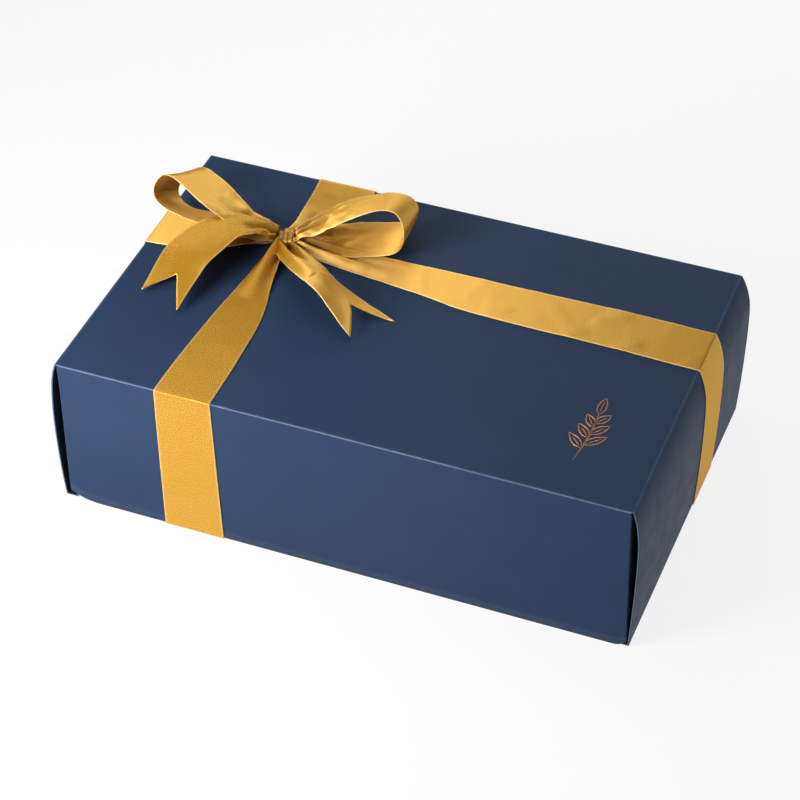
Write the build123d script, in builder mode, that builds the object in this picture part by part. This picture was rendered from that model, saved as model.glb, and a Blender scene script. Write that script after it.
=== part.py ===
from build123d import *
import os
from math import cos, radians, sin

os.makedirs("parts", exist_ok=True)

# Closed box: X along the long side, Y from front to back, origin at the bottom centre
box_length = 250.0
box_width = 155.0
box_height = 76.0

# Folded board of the lid and the base
board = 0.6
fold_gap = 0.15
rim_height = 0.6
crease_chamfer = 0.5
flap_length = 45.0
flap_trim = 1.0
corner_cut = 3.0
side_slot = 0.4
side_lap = 12.0

# Lid walls on the short sides stand off their corner flaps in a shallow bow
wall_bulge = 3.2
bulge_drop = 19.0

# Base tray inside the lid
lid_clearance = 1.0
seat_gap = 0.3

# Formed insert trays, one to a layer
insert_clearance = 0.5
film = 0.5
columns = 6
rows = 4
insert_margin = 2.0
insert_corner = 4.0
well_sides = 12
well_land = 2.0
well_taper = 2.3
skirt_depth = 8.0
layer_gap = 0.3

# Paper cups
cup_paper = 0.25
cup_clearance = 0.3
cup_drop = 10.5

# Chocolates: a drop is how far a top, a rim or a groove lies below what is above it
sweet_clearance = 0.35
truffle_drop = 2.5
truffle_swell = 0.3
truffle_foot_share = 0.476
dome_drop = 3.0
dome_rise_share = 0.975
barrel_drop = 3.5
barrel_ease = 2.0
barrel_groove_drop = 7.0
barrel_groove = 0.8
swirl_drop = 1.5
swirl_bulge = 0.8
swirl_tip_height = 2.0
swirl_tip_radius = 1.6
swirl_radius_shares = [0.9, 0.72, 0.5, 0.26]

# Sheets between and above the layers
interleaf_thickness = 2.0
pad_clearance = 1.5
pad_thickness = 9.5
headroom = 6.4
pad_edge = 3.0
pad_corner = 6.0

# Ribbon: a satin band over the lid, turned in under the lid's rim
ribbon_width = 25.0
ribbon_thickness = 0.35
ribbon_gap = 0.1
tuck_height = 14.0
gather_width = 10.0
gather_length = 32.0
tape_thickness = 0.1
tape_width = 18.0
tape_height = 10.0

# How far each strand's middle drifts, along X or Y, from the knot to the edge of the lid
front_drift = -1.2
back_drift = 7.5
right_drift = -7.0
left_drift = -4.0

# Knot and bow, set in from the lid's left end and from its back
knot_end_inset = 59.0
knot_back_inset = 52.5
knot_length = 8.0
knot_width = 9.0
knot_height = 7.0
knot_ease = 2.0
knot_lift = 0.6
loop_reach = 50.0
tail_reach = 55.0
bow_rise = 24.0
tail_notch = 9.0

overrun = 1.0

# One overlap-free pitch of folded layers, and the three-layer short wall
layer_pitch = board + fold_gap
side_stack = board + 2 * layer_pitch

lid_half_length = box_length / 2
lid_half_width = box_width / 2
lid_underside = box_height - board
base_half_length = lid_half_length - side_stack - lid_clearance
base_half_width = lid_half_width - board - lid_clearance
base_height = lid_underside - seat_gap
knot_x = knot_end_inset - lid_half_length
knot_y = lid_half_width - knot_back_inset


def save(piece, name):
    piece.part.label = name
    export_step(piece.part, f"parts/{name}.step")


def wall_face(place, bulge, top, bottom):
    # One face of a wall, from its top to its bottom; a bowed wall swells to its crown and back
    if bulge:
        crown = (place + bulge, box_height - bulge_drop)
        TangentArc((place, top), crown, tangent=(0, 1), tangent_from_first=False)
        TangentArc(crown, (place, bottom), tangent=(0, -1))
    else:
        Line((place, top), (place, bottom))


def lid_side_line():
    # Section of a short side: out over the crease, down the bowed wall, in and up behind the flaps
    lap = lid_half_length - side_lap
    inner = lid_half_length - side_stack
    shoulder = box_height - crease_chamfer
    Polyline((lap, box_height), (lid_half_length - crease_chamfer, box_height), (lid_half_length, shoulder))
    wall_face(lid_half_length, wall_bulge, shoulder, rim_height)
    Polyline(
        (lid_half_length, rim_height),
        (inner, rim_height),
        (inner, lid_underside - fold_gap),
        (inner + board, lid_underside - fold_gap),
        (inner + board, rim_height + board),
        (lid_half_length - board, rim_height + board),
    )
    wall_face(lid_half_length - board, wall_bulge, lid_underside, rim_height + board)
    Polyline((lid_half_length - board, lid_underside), (lap, lid_underside), (lap, box_height))


def base_side_line():
    # Section of a short side of the base: up from the floor, over the top fold and down inside
    outer = base_half_length
    inner = base_half_length - side_stack
    Polyline(
        (outer - side_lap, 0),
        (outer, 0),
        (outer, base_height),
        (inner, base_height),
        (inner, board + fold_gap),
        (inner + board, board + fold_gap),
        (inner + board, base_height - board),
        (outer - board, base_height - board),
        (outer - board, board),
        (outer - side_lap, board),
        close=True,
    )


# Lid: top panel, front and back walls, four corner flaps and two double short sides, one folded sheet
with BuildPart() as lid:
    with BuildSketch(Plane.YZ):
        with BuildLine():
            Polyline(
                (-lid_half_width, rim_height),
                (-lid_half_width, box_height - crease_chamfer),
                (-lid_half_width + crease_chamfer, box_height),
                (lid_half_width - crease_chamfer, box_height),
                (lid_half_width, box_height - crease_chamfer),
                (lid_half_width, rim_height),
            )
            offset(amount=board, side=Side.RIGHT)
        make_face()
    extrude(amount=lid_half_length - layer_pitch, both=True)
    chamfer(lid.edges().filter_by(Axis.Y).group_by(Axis.Z)[0], length=corner_cut)
    with BuildSketch(Plane.XZ):
        with BuildLine():
            lid_side_line()
        make_face()
        mirror(about=Plane.YZ)
    extrude(amount=lid_half_width - side_slot, both=True)
    with BuildSketch(Plane.XY.offset(rim_height + layer_pitch)):
        with GridLocations(box_length - 2 * layer_pitch - board, box_width - flap_length, 2, 2):
            Rectangle(board, flap_length)
    extrude(amount=lid_underside - layer_pitch - rim_height - flap_trim)
save(lid, "lid")

# Base tray: floor, front and back walls, four corner flaps and two double short sides
with BuildPart() as base_tray:
    with BuildSketch(Plane.YZ):
        with BuildLine():
            Polyline(
                (base_half_width, base_height),
                (base_half_width, 0),
                (-base_half_width, 0),
                (-base_half_width, base_height),
            )
            offset(amount=board, side=Side.RIGHT)
        make_face()
    extrude(amount=base_half_length - layer_pitch, both=True)
    with BuildSketch(Plane.XZ):
        with BuildLine():
            base_side_line()
        make_face()
        mirror(about=Plane.YZ)
    extrude(amount=base_half_width - side_slot, both=True)
    with BuildSketch(Plane.XY.offset(layer_pitch + flap_trim)):
        with GridLocations(
            2 * base_half_length - 2 * layer_pitch - board,
            2 * base_half_width - flap_length,
            2,
            2,
        ):
            Rectangle(board, flap_length)
    extrude(amount=base_height - 2 * layer_pitch - flap_trim)
save(base_tray, "base_tray")

# Layers: each insert stands on the floor or on the sheet below it
insert_length = 2 * (base_half_length - side_stack - insert_clearance)
insert_width = 2 * (base_half_width - board - insert_clearance)
stack_height = lid_underside - headroom - pad_thickness - interleaf_thickness - board - 3 * layer_gap
insert_height = stack_height / 2
well_depth = insert_height - film
pitch_x = (insert_length - 2 * insert_margin) / columns
pitch_y = (insert_width - 2 * insert_margin) / rows
well_mouth_radius = min(pitch_x, pitch_y) / 2 - well_land
well_floor_radius = well_mouth_radius - well_taper
well_slope = well_taper / well_depth
lower_floor = board
interleaf_floor = lower_floor + insert_height + layer_gap
upper_floor = interleaf_floor + interleaf_thickness + layer_gap
pad_floor = upper_floor + insert_height + layer_gap
cup_height = well_depth - cup_drop
cup_foot_radius = well_floor_radius - cup_clearance
cup_mouth_radius = cup_foot_radius + well_slope * cup_height
sweet_radius = cup_foot_radius - cup_paper - sweet_clearance


def well_places(height, kind=None):
    # Centres of the wells, or only of those that hold one kind of chocolate
    return [
        ((column - (columns - 1) / 2) * pitch_x, (row - (rows - 1) / 2) * pitch_y, height)
        for column in range(columns)
        for row in range(rows)
        if kind is None or (column + row) % len(sweet_outlines) == kind
    ]


def frustum(foot_radius, mouth_radius, height):
    # Faceted well, its flats at the radii
    with BuildPart(mode=Mode.PRIVATE) as shape:
        with BuildSketch(Plane.XY):
            RegularPolygon(foot_radius, well_sides, major_radius=False)
        with BuildSketch(Plane.XY.offset(height)):
            RegularPolygon(mouth_radius, well_sides, major_radius=False)
        loft(ruled=True)
    return shape.part


def truffle_outline():
    # Ball drawn in to a flat foot
    height = well_depth - truffle_drop
    radius = sweet_radius + truffle_swell
    foot = radius * truffle_foot_share
    CenterArc((0, height - radius), radius, 0, 90)
    TangentArc((radius, height - radius), (foot, 0), tangent=(0, -1))
    Polyline((0, height), (0, 0), (foot, 0))


def dome_outline():
    # Straight wall below a round top
    height = well_depth - dome_drop
    rise = sweet_radius * dome_rise_share
    round_radius = (sweet_radius**2 + rise**2) / (2 * rise)
    Polyline((0, height), (0, 0), (sweet_radius, 0), (sweet_radius, height - rise))
    RadiusArc((sweet_radius, height - rise), (0, height), -round_radius)


def barrel_outline():
    # Drum with an eased rim and a groove round its upper part
    height = well_depth - barrel_drop
    groove = height - barrel_groove_drop
    Polyline(
        (0, height),
        (0, 0),
        (sweet_radius, 0),
        (sweet_radius, groove - barrel_groove),
        (sweet_radius - barrel_groove, groove),
        (sweet_radius, groove + barrel_groove),
        (sweet_radius, height - barrel_ease),
        (sweet_radius - barrel_ease, height),
        (0, height),
    )


def swirl_outline():
    # Three piped tiers drawn up to a point
    height = well_depth - swirl_drop
    radii = [sweet_radius * share for share in swirl_radius_shares]
    tiers = len(radii) - 1
    rise = (height - swirl_tip_height) / tiers
    Polyline((0, height), (0, 0), (radii[0], 0))
    for tier, (low, high) in enumerate(zip(radii, radii[1:])):
        side = low + swirl_bulge * (1 - tier / len(radii))
        ThreePointArc((low, tier * rise), (side, (tier + 0.5) * rise), (high, (tier + 1) * rise))
    Polyline((radii[-1], tiers * rise), (swirl_tip_radius, tiers * rise), (0, height))


sweet_outlines = {
    "truffles": truffle_outline,
    "domes": dome_outline,
    "barrels": barrel_outline,
    "swirls": swirl_outline,
}

well_outside = frustum(well_floor_radius + film, well_mouth_radius + film, insert_height)
well_inside = frustum(well_floor_radius, well_mouth_radius + well_slope * overrun, well_depth + overrun)

for layer, floor in (("lower", lower_floor), ("upper", upper_floor)):
    # Insert tray: deck, short skirt and faceted tapered wells
    with BuildPart() as insert:
        with BuildSketch(Plane.XY.offset(floor + well_depth)):
            RectangleRounded(insert_length, insert_width, insert_corner)
        extrude(amount=film)
        with BuildSketch(Plane.XY.offset(floor + insert_height - skirt_depth)):
            RectangleRounded(insert_length, insert_width, insert_corner)
            offset(amount=-film, mode=Mode.SUBTRACT)
        extrude(amount=skirt_depth)
        with Locations(*well_places(floor)):
            add(well_outside)
        with Locations(*well_places(floor + film)):
            add(well_inside, mode=Mode.SUBTRACT)
    save(insert, f"{layer}_insert")

    # Paper cups, one in each well
    with BuildPart() as cups:
        with Locations(*well_places(floor + film)):
            Cone(
                cup_foot_radius,
                cup_mouth_radius,
                cup_height,
                align=(Align.CENTER, Align.CENTER, Align.MIN),
            )
        with Locations(*well_places(floor + film + cup_paper)):
            Cone(
                cup_foot_radius - cup_paper,
                cup_mouth_radius - cup_paper + well_slope * overrun,
                cup_height - cup_paper + overrun,
                align=(Align.CENTER, Align.CENTER, Align.MIN),
                mode=Mode.SUBTRACT,
            )
    save(cups, f"{layer}_cups")

    # Chocolates, each kind on its own diagonals of the tray
    for kind, (name, outline) in enumerate(sweet_outlines.items()):
        with BuildPart() as sweet:
            with BuildSketch(Plane.XZ):
                with BuildLine():
                    outline()
                make_face()
            revolve(axis=Axis.Z)
        with BuildPart() as sweets:
            with Locations(*well_places(floor + film + cup_paper, kind)):
                add(sweet.part)
        save(sweets, f"{layer}_{name}")

# Interleaf pad between the layers
with BuildPart() as interleaf_pad:
    with BuildSketch(Plane.XY.offset(interleaf_floor)):
        RectangleRounded(insert_length, insert_width, insert_corner)
    extrude(amount=interleaf_thickness)
save(interleaf_pad, "interleaf_pad")

# Cushion pad over the upper layer, with eased edges
with BuildPart() as cushion_pad:
    with BuildSketch(Plane.XY.offset(pad_floor)):
        RectangleRounded(insert_length - 2 * pad_clearance, insert_width - 2 * pad_clearance, pad_corner)
    extrude(amount=pad_thickness)
    fillet(cushion_pad.faces().sort_by(Axis.Z)[-1].edges(), radius=pad_edge)
save(cushion_pad, "cushion_pad")

# Strands of the ribbon: each leaves the knot, bends over the lid's edge, runs down the wall,
# turns in under the rim and ends on a tape inside the lid
strands = {
    "ribbon_front": (Vector(0, -1, 0), lid_half_width, 0, board, Vector(front_drift, 0, 0)),
    "ribbon_back": (Vector(0, 1, 0), lid_half_width, 0, board, Vector(back_drift, 0, 0)),
    "ribbon_right": (Vector(1, 0, 0), lid_half_length, wall_bulge, side_stack, Vector(0, right_drift, 0)),
    "ribbon_left": (Vector(-1, 0, 0), lid_half_length, wall_bulge, side_stack, Vector(0, left_drift, 0)),
}
up = Vector(0, 0, 1)
knot = Vector(knot_x, knot_y, 0)


def strand_section(start, edge, bulge, wall_stack):
    # Along the lid, down the wall, in under the rim and up inside; first the face on the board
    top = box_height + ribbon_gap
    outer = edge + ribbon_gap
    inner = edge - wall_stack - tape_thickness
    bottom = rim_height - ribbon_gap
    end = rim_height + tuck_height
    Line((start, top), (outer, top))
    wall_face(outer, bulge, top, bottom)
    Polyline((outer, bottom), (inner, bottom), (inner, end), (inner - ribbon_thickness, end))
    Line((inner - ribbon_thickness, end), (inner - ribbon_thickness, bottom - ribbon_thickness))
    Line((inner - ribbon_thickness, bottom - ribbon_thickness), (outer, bottom - ribbon_thickness))
    Line((outer, bottom - ribbon_thickness), (outer + ribbon_thickness, bottom))
    wall_face(outer + ribbon_thickness, bulge, top, bottom)
    Polyline(
        (outer + ribbon_thickness, top),
        (outer, top + ribbon_thickness),
        (start, top + ribbon_thickness),
        (start, top),
    )


for name, (out, edge, bulge, wall_stack, drift) in strands.items():
    across = up.cross(out)
    knot_across = knot.dot(across)
    edge_across = (knot + drift).dot(across)
    start = knot.dot(out) + gather_width / 2 + ribbon_gap
    half = ribbon_width / 2
    far = edge + wall_bulge + overrun
    with BuildPart() as strand:
        with BuildSketch(Plane(across * edge_across, x_dir=out, z_dir=out.cross(up))):
            with BuildLine():
                strand_section(start, edge, bulge, wall_stack)
            make_face()
        extrude(amount=ribbon_width, both=True)
        with BuildSketch(Plane(Vector(0, 0, 0), x_dir=out, z_dir=up)):
            with BuildLine():
                Polyline(
                    (start, knot_across - gather_width / 2),
                    (start + gather_length, edge_across - half),
                    (far, edge_across - half),
                    (far, edge_across + half),
                    (start + gather_length, edge_across + half),
                    (start, knot_across + gather_width / 2),
                    close=True,
                )
            make_face()
        extrude(amount=box_height + overrun, mode=Mode.INTERSECT)
    save(strand, name)

# Tapes that hold the turned-in ends of the ribbon to the inside of the lid
with BuildPart() as ribbon_tapes:
    for out, edge, bulge, wall_stack, drift in strands.values():
        across = up.cross(out)
        inner = edge - wall_stack
        middle = out * (inner - tape_thickness / 2) + across * (knot + drift).dot(across)
        low = rim_height + (tuck_height - tape_height) / 2
        with BuildSketch(Plane(middle + up * low, x_dir=across, z_dir=up)):
            Rectangle(tape_width, tape_thickness)
        extrude(amount=tape_height)
save(ribbon_tapes, "ribbon_tapes")

# Knot over the crossing of the strands
knot_floor = box_height + ribbon_gap + ribbon_thickness + knot_lift
with BuildPart() as ribbon_knot:
    with BuildSketch(Plane.XY.offset(knot_floor).move(Location((knot_x, knot_y, 0)))):
        RectangleRounded(knot_length, knot_width, knot_ease)
    extrude(amount=knot_height)
    fillet(ribbon_knot.faces().sort_by(Axis.Z)[-1].edges(), radius=knot_ease)
save(ribbon_knot, "ribbon_knot")

# Stations along each loop and tail: middle along X, along Y and up, as shares of its reach and rise,
# then the ribbon's width as a share, and the heading and tilt of the line across it in degrees
right_loop_shares = [
    (0.085, 0.06, 0.27, 0.34, 108, -8),
    (0.25, 0.19, 0.46, 0.64, 112, -11),
    (0.42, 0.30, 0.64, 0.84, 108, -13),
    (0.60, 0.38, 0.79, 0.96, 103, -17),
    (0.76, 0.44, 0.88, 1.00, 99, -19),
    (0.90, 0.46, 0.88, 1.00, 96, -20),
    (0.98, 0.45, 0.77, 1.00, 95, -19),
    (1.02, 0.42, 0.57, 1.00, 97, -14),
    (1.00, 0.40, 0.36, 1.00, 98, -7),
    (0.92, 0.39, 0.20, 1.00, 98, -3),
    (0.76, 0.37, 0.10, 1.00, 98, -1),
    (0.55, 0.30, 0.08, 1.00, 99, 0),
    (0.32, 0.21, 0.08, 0.84, 104, 0),
    (0.11, 0.10, 0.10, 0.48, 107, -7),
]
left_loop_shares = [
    (-0.10, 0.07, 0.28, 0.36, 90, -17),
    (-0.28, 0.07, 0.36, 0.60, 91, -17),
    (-0.47, 0.07, 0.51, 0.84, 88, -17),
    (-0.65, 0.10, 0.68, 1.00, 82, -19),
    (-0.83, 0.16, 0.82, 1.00, 78, -20),
    (-0.99, 0.21, 0.90, 1.00, 81, -23),
    (-1.11, 0.20, 0.81, 1.00, 85, -31),
    (-1.17, 0.13, 0.60, 1.00, 87, -35),
    (-1.13, 0.08, 0.42, 1.00, 87, -34),
    (-1.00, 0.04, 0.34, 1.00, 87, -33),
    (-0.79, 0.03, 0.30, 1.00, 87, -28),
    (-0.57, 0.02, 0.26, 0.88, 89, -26),
    (-0.34, 0.04, 0.20, 0.68, 93, -20),
    (-0.10, 0.07, 0.14, 0.40, 98, -12),
]
left_tail_shares = [
    (-0.08, -0.075, 0.36, 0.24, 100, -11),
    (-0.14, -0.136, 0.525, 0.40, 112, -12),
    (-0.29, -0.236, 0.625, 0.60, 118, -12),
    (-0.43, -0.30, 0.60, 1.00, 131, -4),
    (-0.53, -0.45, 0.50, 1.00, 139, 0),
    (-0.59, -0.59, 0.37, 1.00, 147, 2),
    (-0.62, -0.75, 0.21, 1.00, 151, -2),
    (-0.64, -0.94, 0.08, 1.00, 155, -2),
]
right_tail_shares = [
    (0.04, -0.10, 0.22, 0.28, 40, -10),
    (0.19, -0.24, 0.46, 0.56, 72, -18),
    (0.36, -0.36, 0.49, 0.88, 90, -21),
    (0.51, -0.42, 0.45, 1.00, 95, -25),
    (0.64, -0.49, 0.35, 1.00, 92, -26),
    (0.81, -0.58, 0.24, 1.00, 76, -20),
    (1.03, -0.68, 0.09, 1.00, 58, -4),
]


def stations(shares, reach):
    # Middles of the stations and the unit line across the ribbon at each
    middles = [
        Vector(knot_x + along * reach, knot_y + side * reach, box_height + rise * bow_rise)
        for along, side, rise, width, heading, tilt in shares
    ]
    lines = [
        Vector(
            cos(radians(heading)) * cos(radians(tilt)),
            sin(radians(heading)) * cos(radians(tilt)),
            sin(radians(tilt)),
        )
        for along, side, rise, width, heading, tilt in shares
    ]
    return middles, lines


def station_planes(shares, reach):
    # Plane square to the ribbon's run at each station
    middles, lines = stations(shares, reach)
    planes = []
    for index, (middle, line) in enumerate(zip(middles, lines)):
        run = middles[min(index + 1, len(middles) - 1)] - middles[max(index - 1, 0)]
        run = run - line * run.dot(line)
        planes.append(Plane(middle, x_dir=line, z_dir=run))
    return planes


# Two loops and two tails, each a thin band through its stations; a tail ends in a swallow-tail notch
bow_pieces = {
    "bow_loop_right": (right_loop_shares, loop_reach, 0),
    "bow_loop_left": (left_loop_shares, loop_reach, 0),
    "bow_tail_right": (right_tail_shares, tail_reach, tail_notch),
    "bow_tail_left": (left_tail_shares, tail_reach, tail_notch),
}

for name, (shares, reach, notch) in bow_pieces.items():
    planes = station_planes(shares, reach)
    with BuildPart() as band:
        for plane, row in zip(planes, shares):
            with BuildSketch(plane):
                Rectangle(ribbon_width * row[3], ribbon_thickness)
        loft(ruled=True)
        if notch:
            end = planes[-1]
            with BuildSketch(Plane(end.origin, x_dir=end.x_dir, z_dir=end.y_dir)):
                with BuildLine():
                    Polyline(
                        (-ribbon_width / 2, -overrun),
                        (0, notch),
                        (ribbon_width / 2, -overrun),
                        close=True,
                    )
                make_face()
            extrude(amount=ribbon_width, both=True, mode=Mode.SUBTRACT)
    save(band, name)
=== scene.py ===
import math
import random

import bmesh
import bpy
import numpy as np
from mathutils import Matrix, Vector, noise


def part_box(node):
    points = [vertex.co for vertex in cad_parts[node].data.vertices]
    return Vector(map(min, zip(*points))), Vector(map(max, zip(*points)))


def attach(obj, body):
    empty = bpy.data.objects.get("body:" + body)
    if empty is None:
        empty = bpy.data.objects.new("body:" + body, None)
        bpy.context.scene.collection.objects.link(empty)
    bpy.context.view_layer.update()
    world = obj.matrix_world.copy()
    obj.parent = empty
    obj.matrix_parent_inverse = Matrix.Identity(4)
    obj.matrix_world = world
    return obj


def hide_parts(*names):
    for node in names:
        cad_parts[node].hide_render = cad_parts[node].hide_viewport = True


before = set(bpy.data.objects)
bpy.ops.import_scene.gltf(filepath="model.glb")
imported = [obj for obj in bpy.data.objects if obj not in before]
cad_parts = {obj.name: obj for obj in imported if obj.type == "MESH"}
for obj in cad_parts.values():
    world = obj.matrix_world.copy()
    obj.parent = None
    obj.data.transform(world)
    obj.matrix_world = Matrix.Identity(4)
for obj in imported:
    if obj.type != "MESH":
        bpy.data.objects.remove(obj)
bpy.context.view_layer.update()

mm = 0.001

# The closed box in millimetres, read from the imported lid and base
lidLow, lidHigh = (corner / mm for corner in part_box("lid"))
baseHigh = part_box("base_tray")[1] / mm
board = {
    "thickness": 0.6,
    "creaseRadius": 0.5,
    "foldRadius": 0.5,
    "hemRadius": 0.3,
    "lead": 9.0,             # length of panel beside a crease that gives its direction
}
lidTray = {
    "halfY": lidHigh.y,
    "panelZ": lidHigh.z,
    "rimZ": lidLow.z,
    "bulge": 3.2,
    # How far a short wall bows out at depths below its crease, for the left and the right end
    "bows": {
        -1: [(0, 0), (4, 1.5), (9, 2.8), (16, 3.7), (28, 4.5), (44, 4.6), (60, 4.2), (76, 3.2)],
        1: [(0, 0), (4, 1.4), (9, 2.5), (15, 3.2), (23, 3.4), (38, 3.1), (58, 2.2), (76, 1.0)],
    },
    "flare": {-1: 1.6, 1: 0.7},  # how far the long walls' ends lean out at the free edge
    # How far a short wall's crease stands out at its middle, and turns from front to back
    "creaseShift": {-1: (-0.4, 0.0), 1: (-0.4, -0.9)},
    "slot": 0.4,             # gap between a short wall and the long wall beside it
    "sideStack": 2.1,        # the folded short wall, outside to inside
    "flapLength": 45.0,
    "flapTrim": 1.3,
    "foldInset": 0.75,       # how far a long wall's end fold lies inside the short wall
    # Reach, height and power of the cut at the free corners of the long walls
    "cornerCuts": {
        (-1, -1): (15.0, 5.0, 2.6),
        (1, -1): (5.0, 2.8, 1.2),
        (-1, 1): (5.0, 2.8, 1.2),
        (1, 1): (5.0, 2.8, 1.2),
    },
    "sag": 0.12,             # how far the panel's ends droop below its middle
    "waves": 0.05,           # how uneven the panel is
}
lidTray["halfX"] = lidHigh.x - lidTray["bulge"]


# Small tools shared by the pieces

def smoothStep(low, high, value):
    t = min(1.0, max(0.0, (value - low) / (high - low)))
    return t * t * (3 - 2 * t)


def mix(a, b, share):
    return a + (b - a) * share


def onCircle(radius, angle):
    return radius * math.cos(angle), radius * math.sin(angle)


def roundCorner(before, corner, after, radius, steps):
    # Points of the arc that rounds a corner of a flat path
    toBefore, toAfter = (before - corner).normalized(), (after - corner).normalized()
    turn = math.pi - toBefore.angle(toAfter)
    reach = radius * math.tan(turn / 2)
    centre = corner + (toBefore + toAfter).normalized() * (radius / math.cos(turn / 2))
    first, last = corner + toBefore * reach - centre, corner + toAfter * reach - centre
    shares = [step / steps for step in range(steps + 1)]
    return [
        centre + (first * math.sin((1 - share) * turn) + last * math.sin(share * turn)) / math.sin(turn)
        for share in shares
    ]


def curveThrough(points, at):
    # Smooth curve through (place, value) pairs that doesn't overshoot between them
    places, values = np.array(points, float).T
    slopes = np.diff(values) / np.diff(places)
    tangents = np.concatenate([[slopes[0]], (slopes[1:] + slopes[:-1]) / 2, [slopes[-1]]])
    at = min(max(at, places[0]), places[-1])
    k = int(min(max(np.searchsorted(places, at) - 1, 0), len(slopes) - 1))
    span = places[k + 1] - places[k]
    t = (at - places[k]) / span
    return float(
        (2 * t**3 - 3 * t**2 + 1) * values[k]
        + (t**3 - 2 * t**2 + t) * span * tangents[k]
        + (3 * t**2 - 2 * t**3) * values[k + 1]
        + (t**3 - t**2) * span * tangents[k + 1]
    )


def gridFaces(rows, columns, start=0, closeColumns=False):
    # Quads over a grid of rows x columns points that are numbered row by row
    faces = []
    for row in range(rows - 1):
        for column in range(columns if closeColumns else columns - 1):
            here, beside = start + row * columns + column, start + row * columns + (column + 1) % columns
            faces.append((here, beside, beside + columns, here + columns))
    return faces


def roundOutline(x, y, half, corner):
    # The nearest corner centre or inner point of a rounded rectangle, and the way from it to (x, y)
    inner = half - Vector((corner, corner))
    centre = Vector((min(max(x, -inner.x), inner.x), min(max(y, -inner.y), inner.y)))
    return centre, Vector((x, y)) - centre


def putInScene(name, data):
    thing = bpy.data.objects.new(name, data)
    bpy.context.scene.collection.objects.link(thing)
    return thing


def makePiece(name, node, body, points, faces, materials, marks=None):
    # One mesh from points in millimetres that stands for a node; marks are values per point for its material
    mesh = bpy.data.meshes.new(name)
    mesh.from_pydata([Vector(point) * mm for point in points], [], faces)
    mesh.update()
    for material in materials:
        mesh.materials.append(material)
    for mark, values in (marks or {}).items():
        attribute = mesh.attributes.new(mark, "FLOAT", "POINT")
        attribute.data.foreach_set("value", [float(value) for value in values])
    mesh.shade_smooth()
    piece = putInScene(name, mesh)
    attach(piece, body)
    if node:
        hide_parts(node)
    return piece


def settleFaces(piece, probe=None, up=1, weld=False):
    # Makes neighbouring faces look the same way, and the one nearest to the probe point up (1) or down (-1);
    # weld first drops loose points and joins doubled ones
    shape = bmesh.new()
    shape.from_mesh(piece.data)
    if weld:
        bmesh.ops.delete(shape, geom=[spot for spot in shape.verts if not spot.link_faces], context="VERTS")
        bmesh.ops.remove_doubles(shape, verts=shape.verts, dist=0.02 * mm)
    bmesh.ops.recalc_face_normals(shape, faces=shape.faces)
    shape.to_mesh(piece.data)
    shape.free()
    if probe:
        spot = Vector(probe) * mm
        nearest = min(piece.data.polygons, key=lambda face: (face.center - spot).length_squared)
        if nearest.normal.z * up < 0:
            piece.data.flip_normals()


def addThickness(piece, thickness, offset, sides=None):
    # Gives a sheet its thickness; sides are the material slots of its back and its cut edge
    shell = piece.modifiers.new("thickness", "SOLIDIFY")
    shell.thickness = thickness * mm
    shell.offset = offset
    shell.use_even_offset = sides is not None
    if sides:
        shell.material_offset, shell.material_offset_rim = sides
    return shell


# Materials

def setInput(socket, value):
    # Links another socket to this one, or gives it a plain value
    if isinstance(value, bpy.types.NodeSocket):
        socket.id_data.links.new(value, socket)
    else:
        socket.default_value = value


def feed(node, **inputs):
    for name, value in inputs.items():
        setInput(node.inputs[name.replace("_", " ")], value)


def addNode(beside, kind, **inputs):
    # Adds a node to the tree that beside, a node or a socket, belongs to
    node = beside.id_data.nodes.new(kind)
    feed(node, **inputs)
    return node


def startMaterial(name, colour, roughness, **sockets):
    material = bpy.data.materials.new(name)
    material.use_nodes = True
    shader = material.node_tree.nodes["Principled BSDF"]
    feed(shader, Base_Color=(*colour, 1), Roughness=roughness, **sockets)
    return material, shader


def objectPlace(shader, stretch=(1, 1, 1)):
    place = addNode(shader, "ShaderNodeTexCoord").outputs["Object"]
    return addNode(shader, "ShaderNodeMapping", Vector=place, Scale=stretch).outputs["Vector"]


def noiseValue(place, scale, detail=2.0, roughness=0.5):
    settings = {"Scale": scale, "Detail": detail, "Roughness": roughness}
    return addNode(place, "ShaderNodeTexNoise", Vector=place, **settings).outputs["Fac"]


def spread(value, low, high, toLow=0.0, toHigh=1.0):
    limits = {"From_Min": low, "From_Max": high, "To_Min": toLow, "To_Max": toHigh}
    return addNode(value, "ShaderNodeMapRange", Value=value, **limits).outputs["Result"]


def combine(operation, a, b):
    node = addNode(a, "ShaderNodeMath")
    node.operation = operation
    setInput(node.inputs[0], a)
    setInput(node.inputs[1], b)
    return node.outputs[0]


def blendColours(share, first, second):
    node = addNode(share, "ShaderNodeMix")
    node.data_type = "RGBA"
    setInput(node.inputs["Factor"], share)
    for number, value in ((6, first), (7, second)):
        setInput(node.inputs[number], (*value, 1) if isinstance(value, tuple) else value)
    return node.outputs[2]


def addBumps(shader, *layers):
    # Each layer is (height value, strength, height in millimetres), stacked on the one before
    below = {}
    for height, strength, depth in layers:
        settings = {"Height": height, "Strength": strength, "Distance": depth * mm}
        bump = addNode(shader, "ShaderNodeBump", **settings, **below)
        below = {"Normal": bump.outputs["Normal"]}
    feed(shader, **below)


def readMark(shader, name):
    node = addNode(shader, "ShaderNodeAttribute")
    node.attribute_name = name
    return node.outputs["Fac"]


def lighter(colour, share, extra=0.0):
    return tuple(min(1.0, channel * share + extra) for channel in colour)


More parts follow.
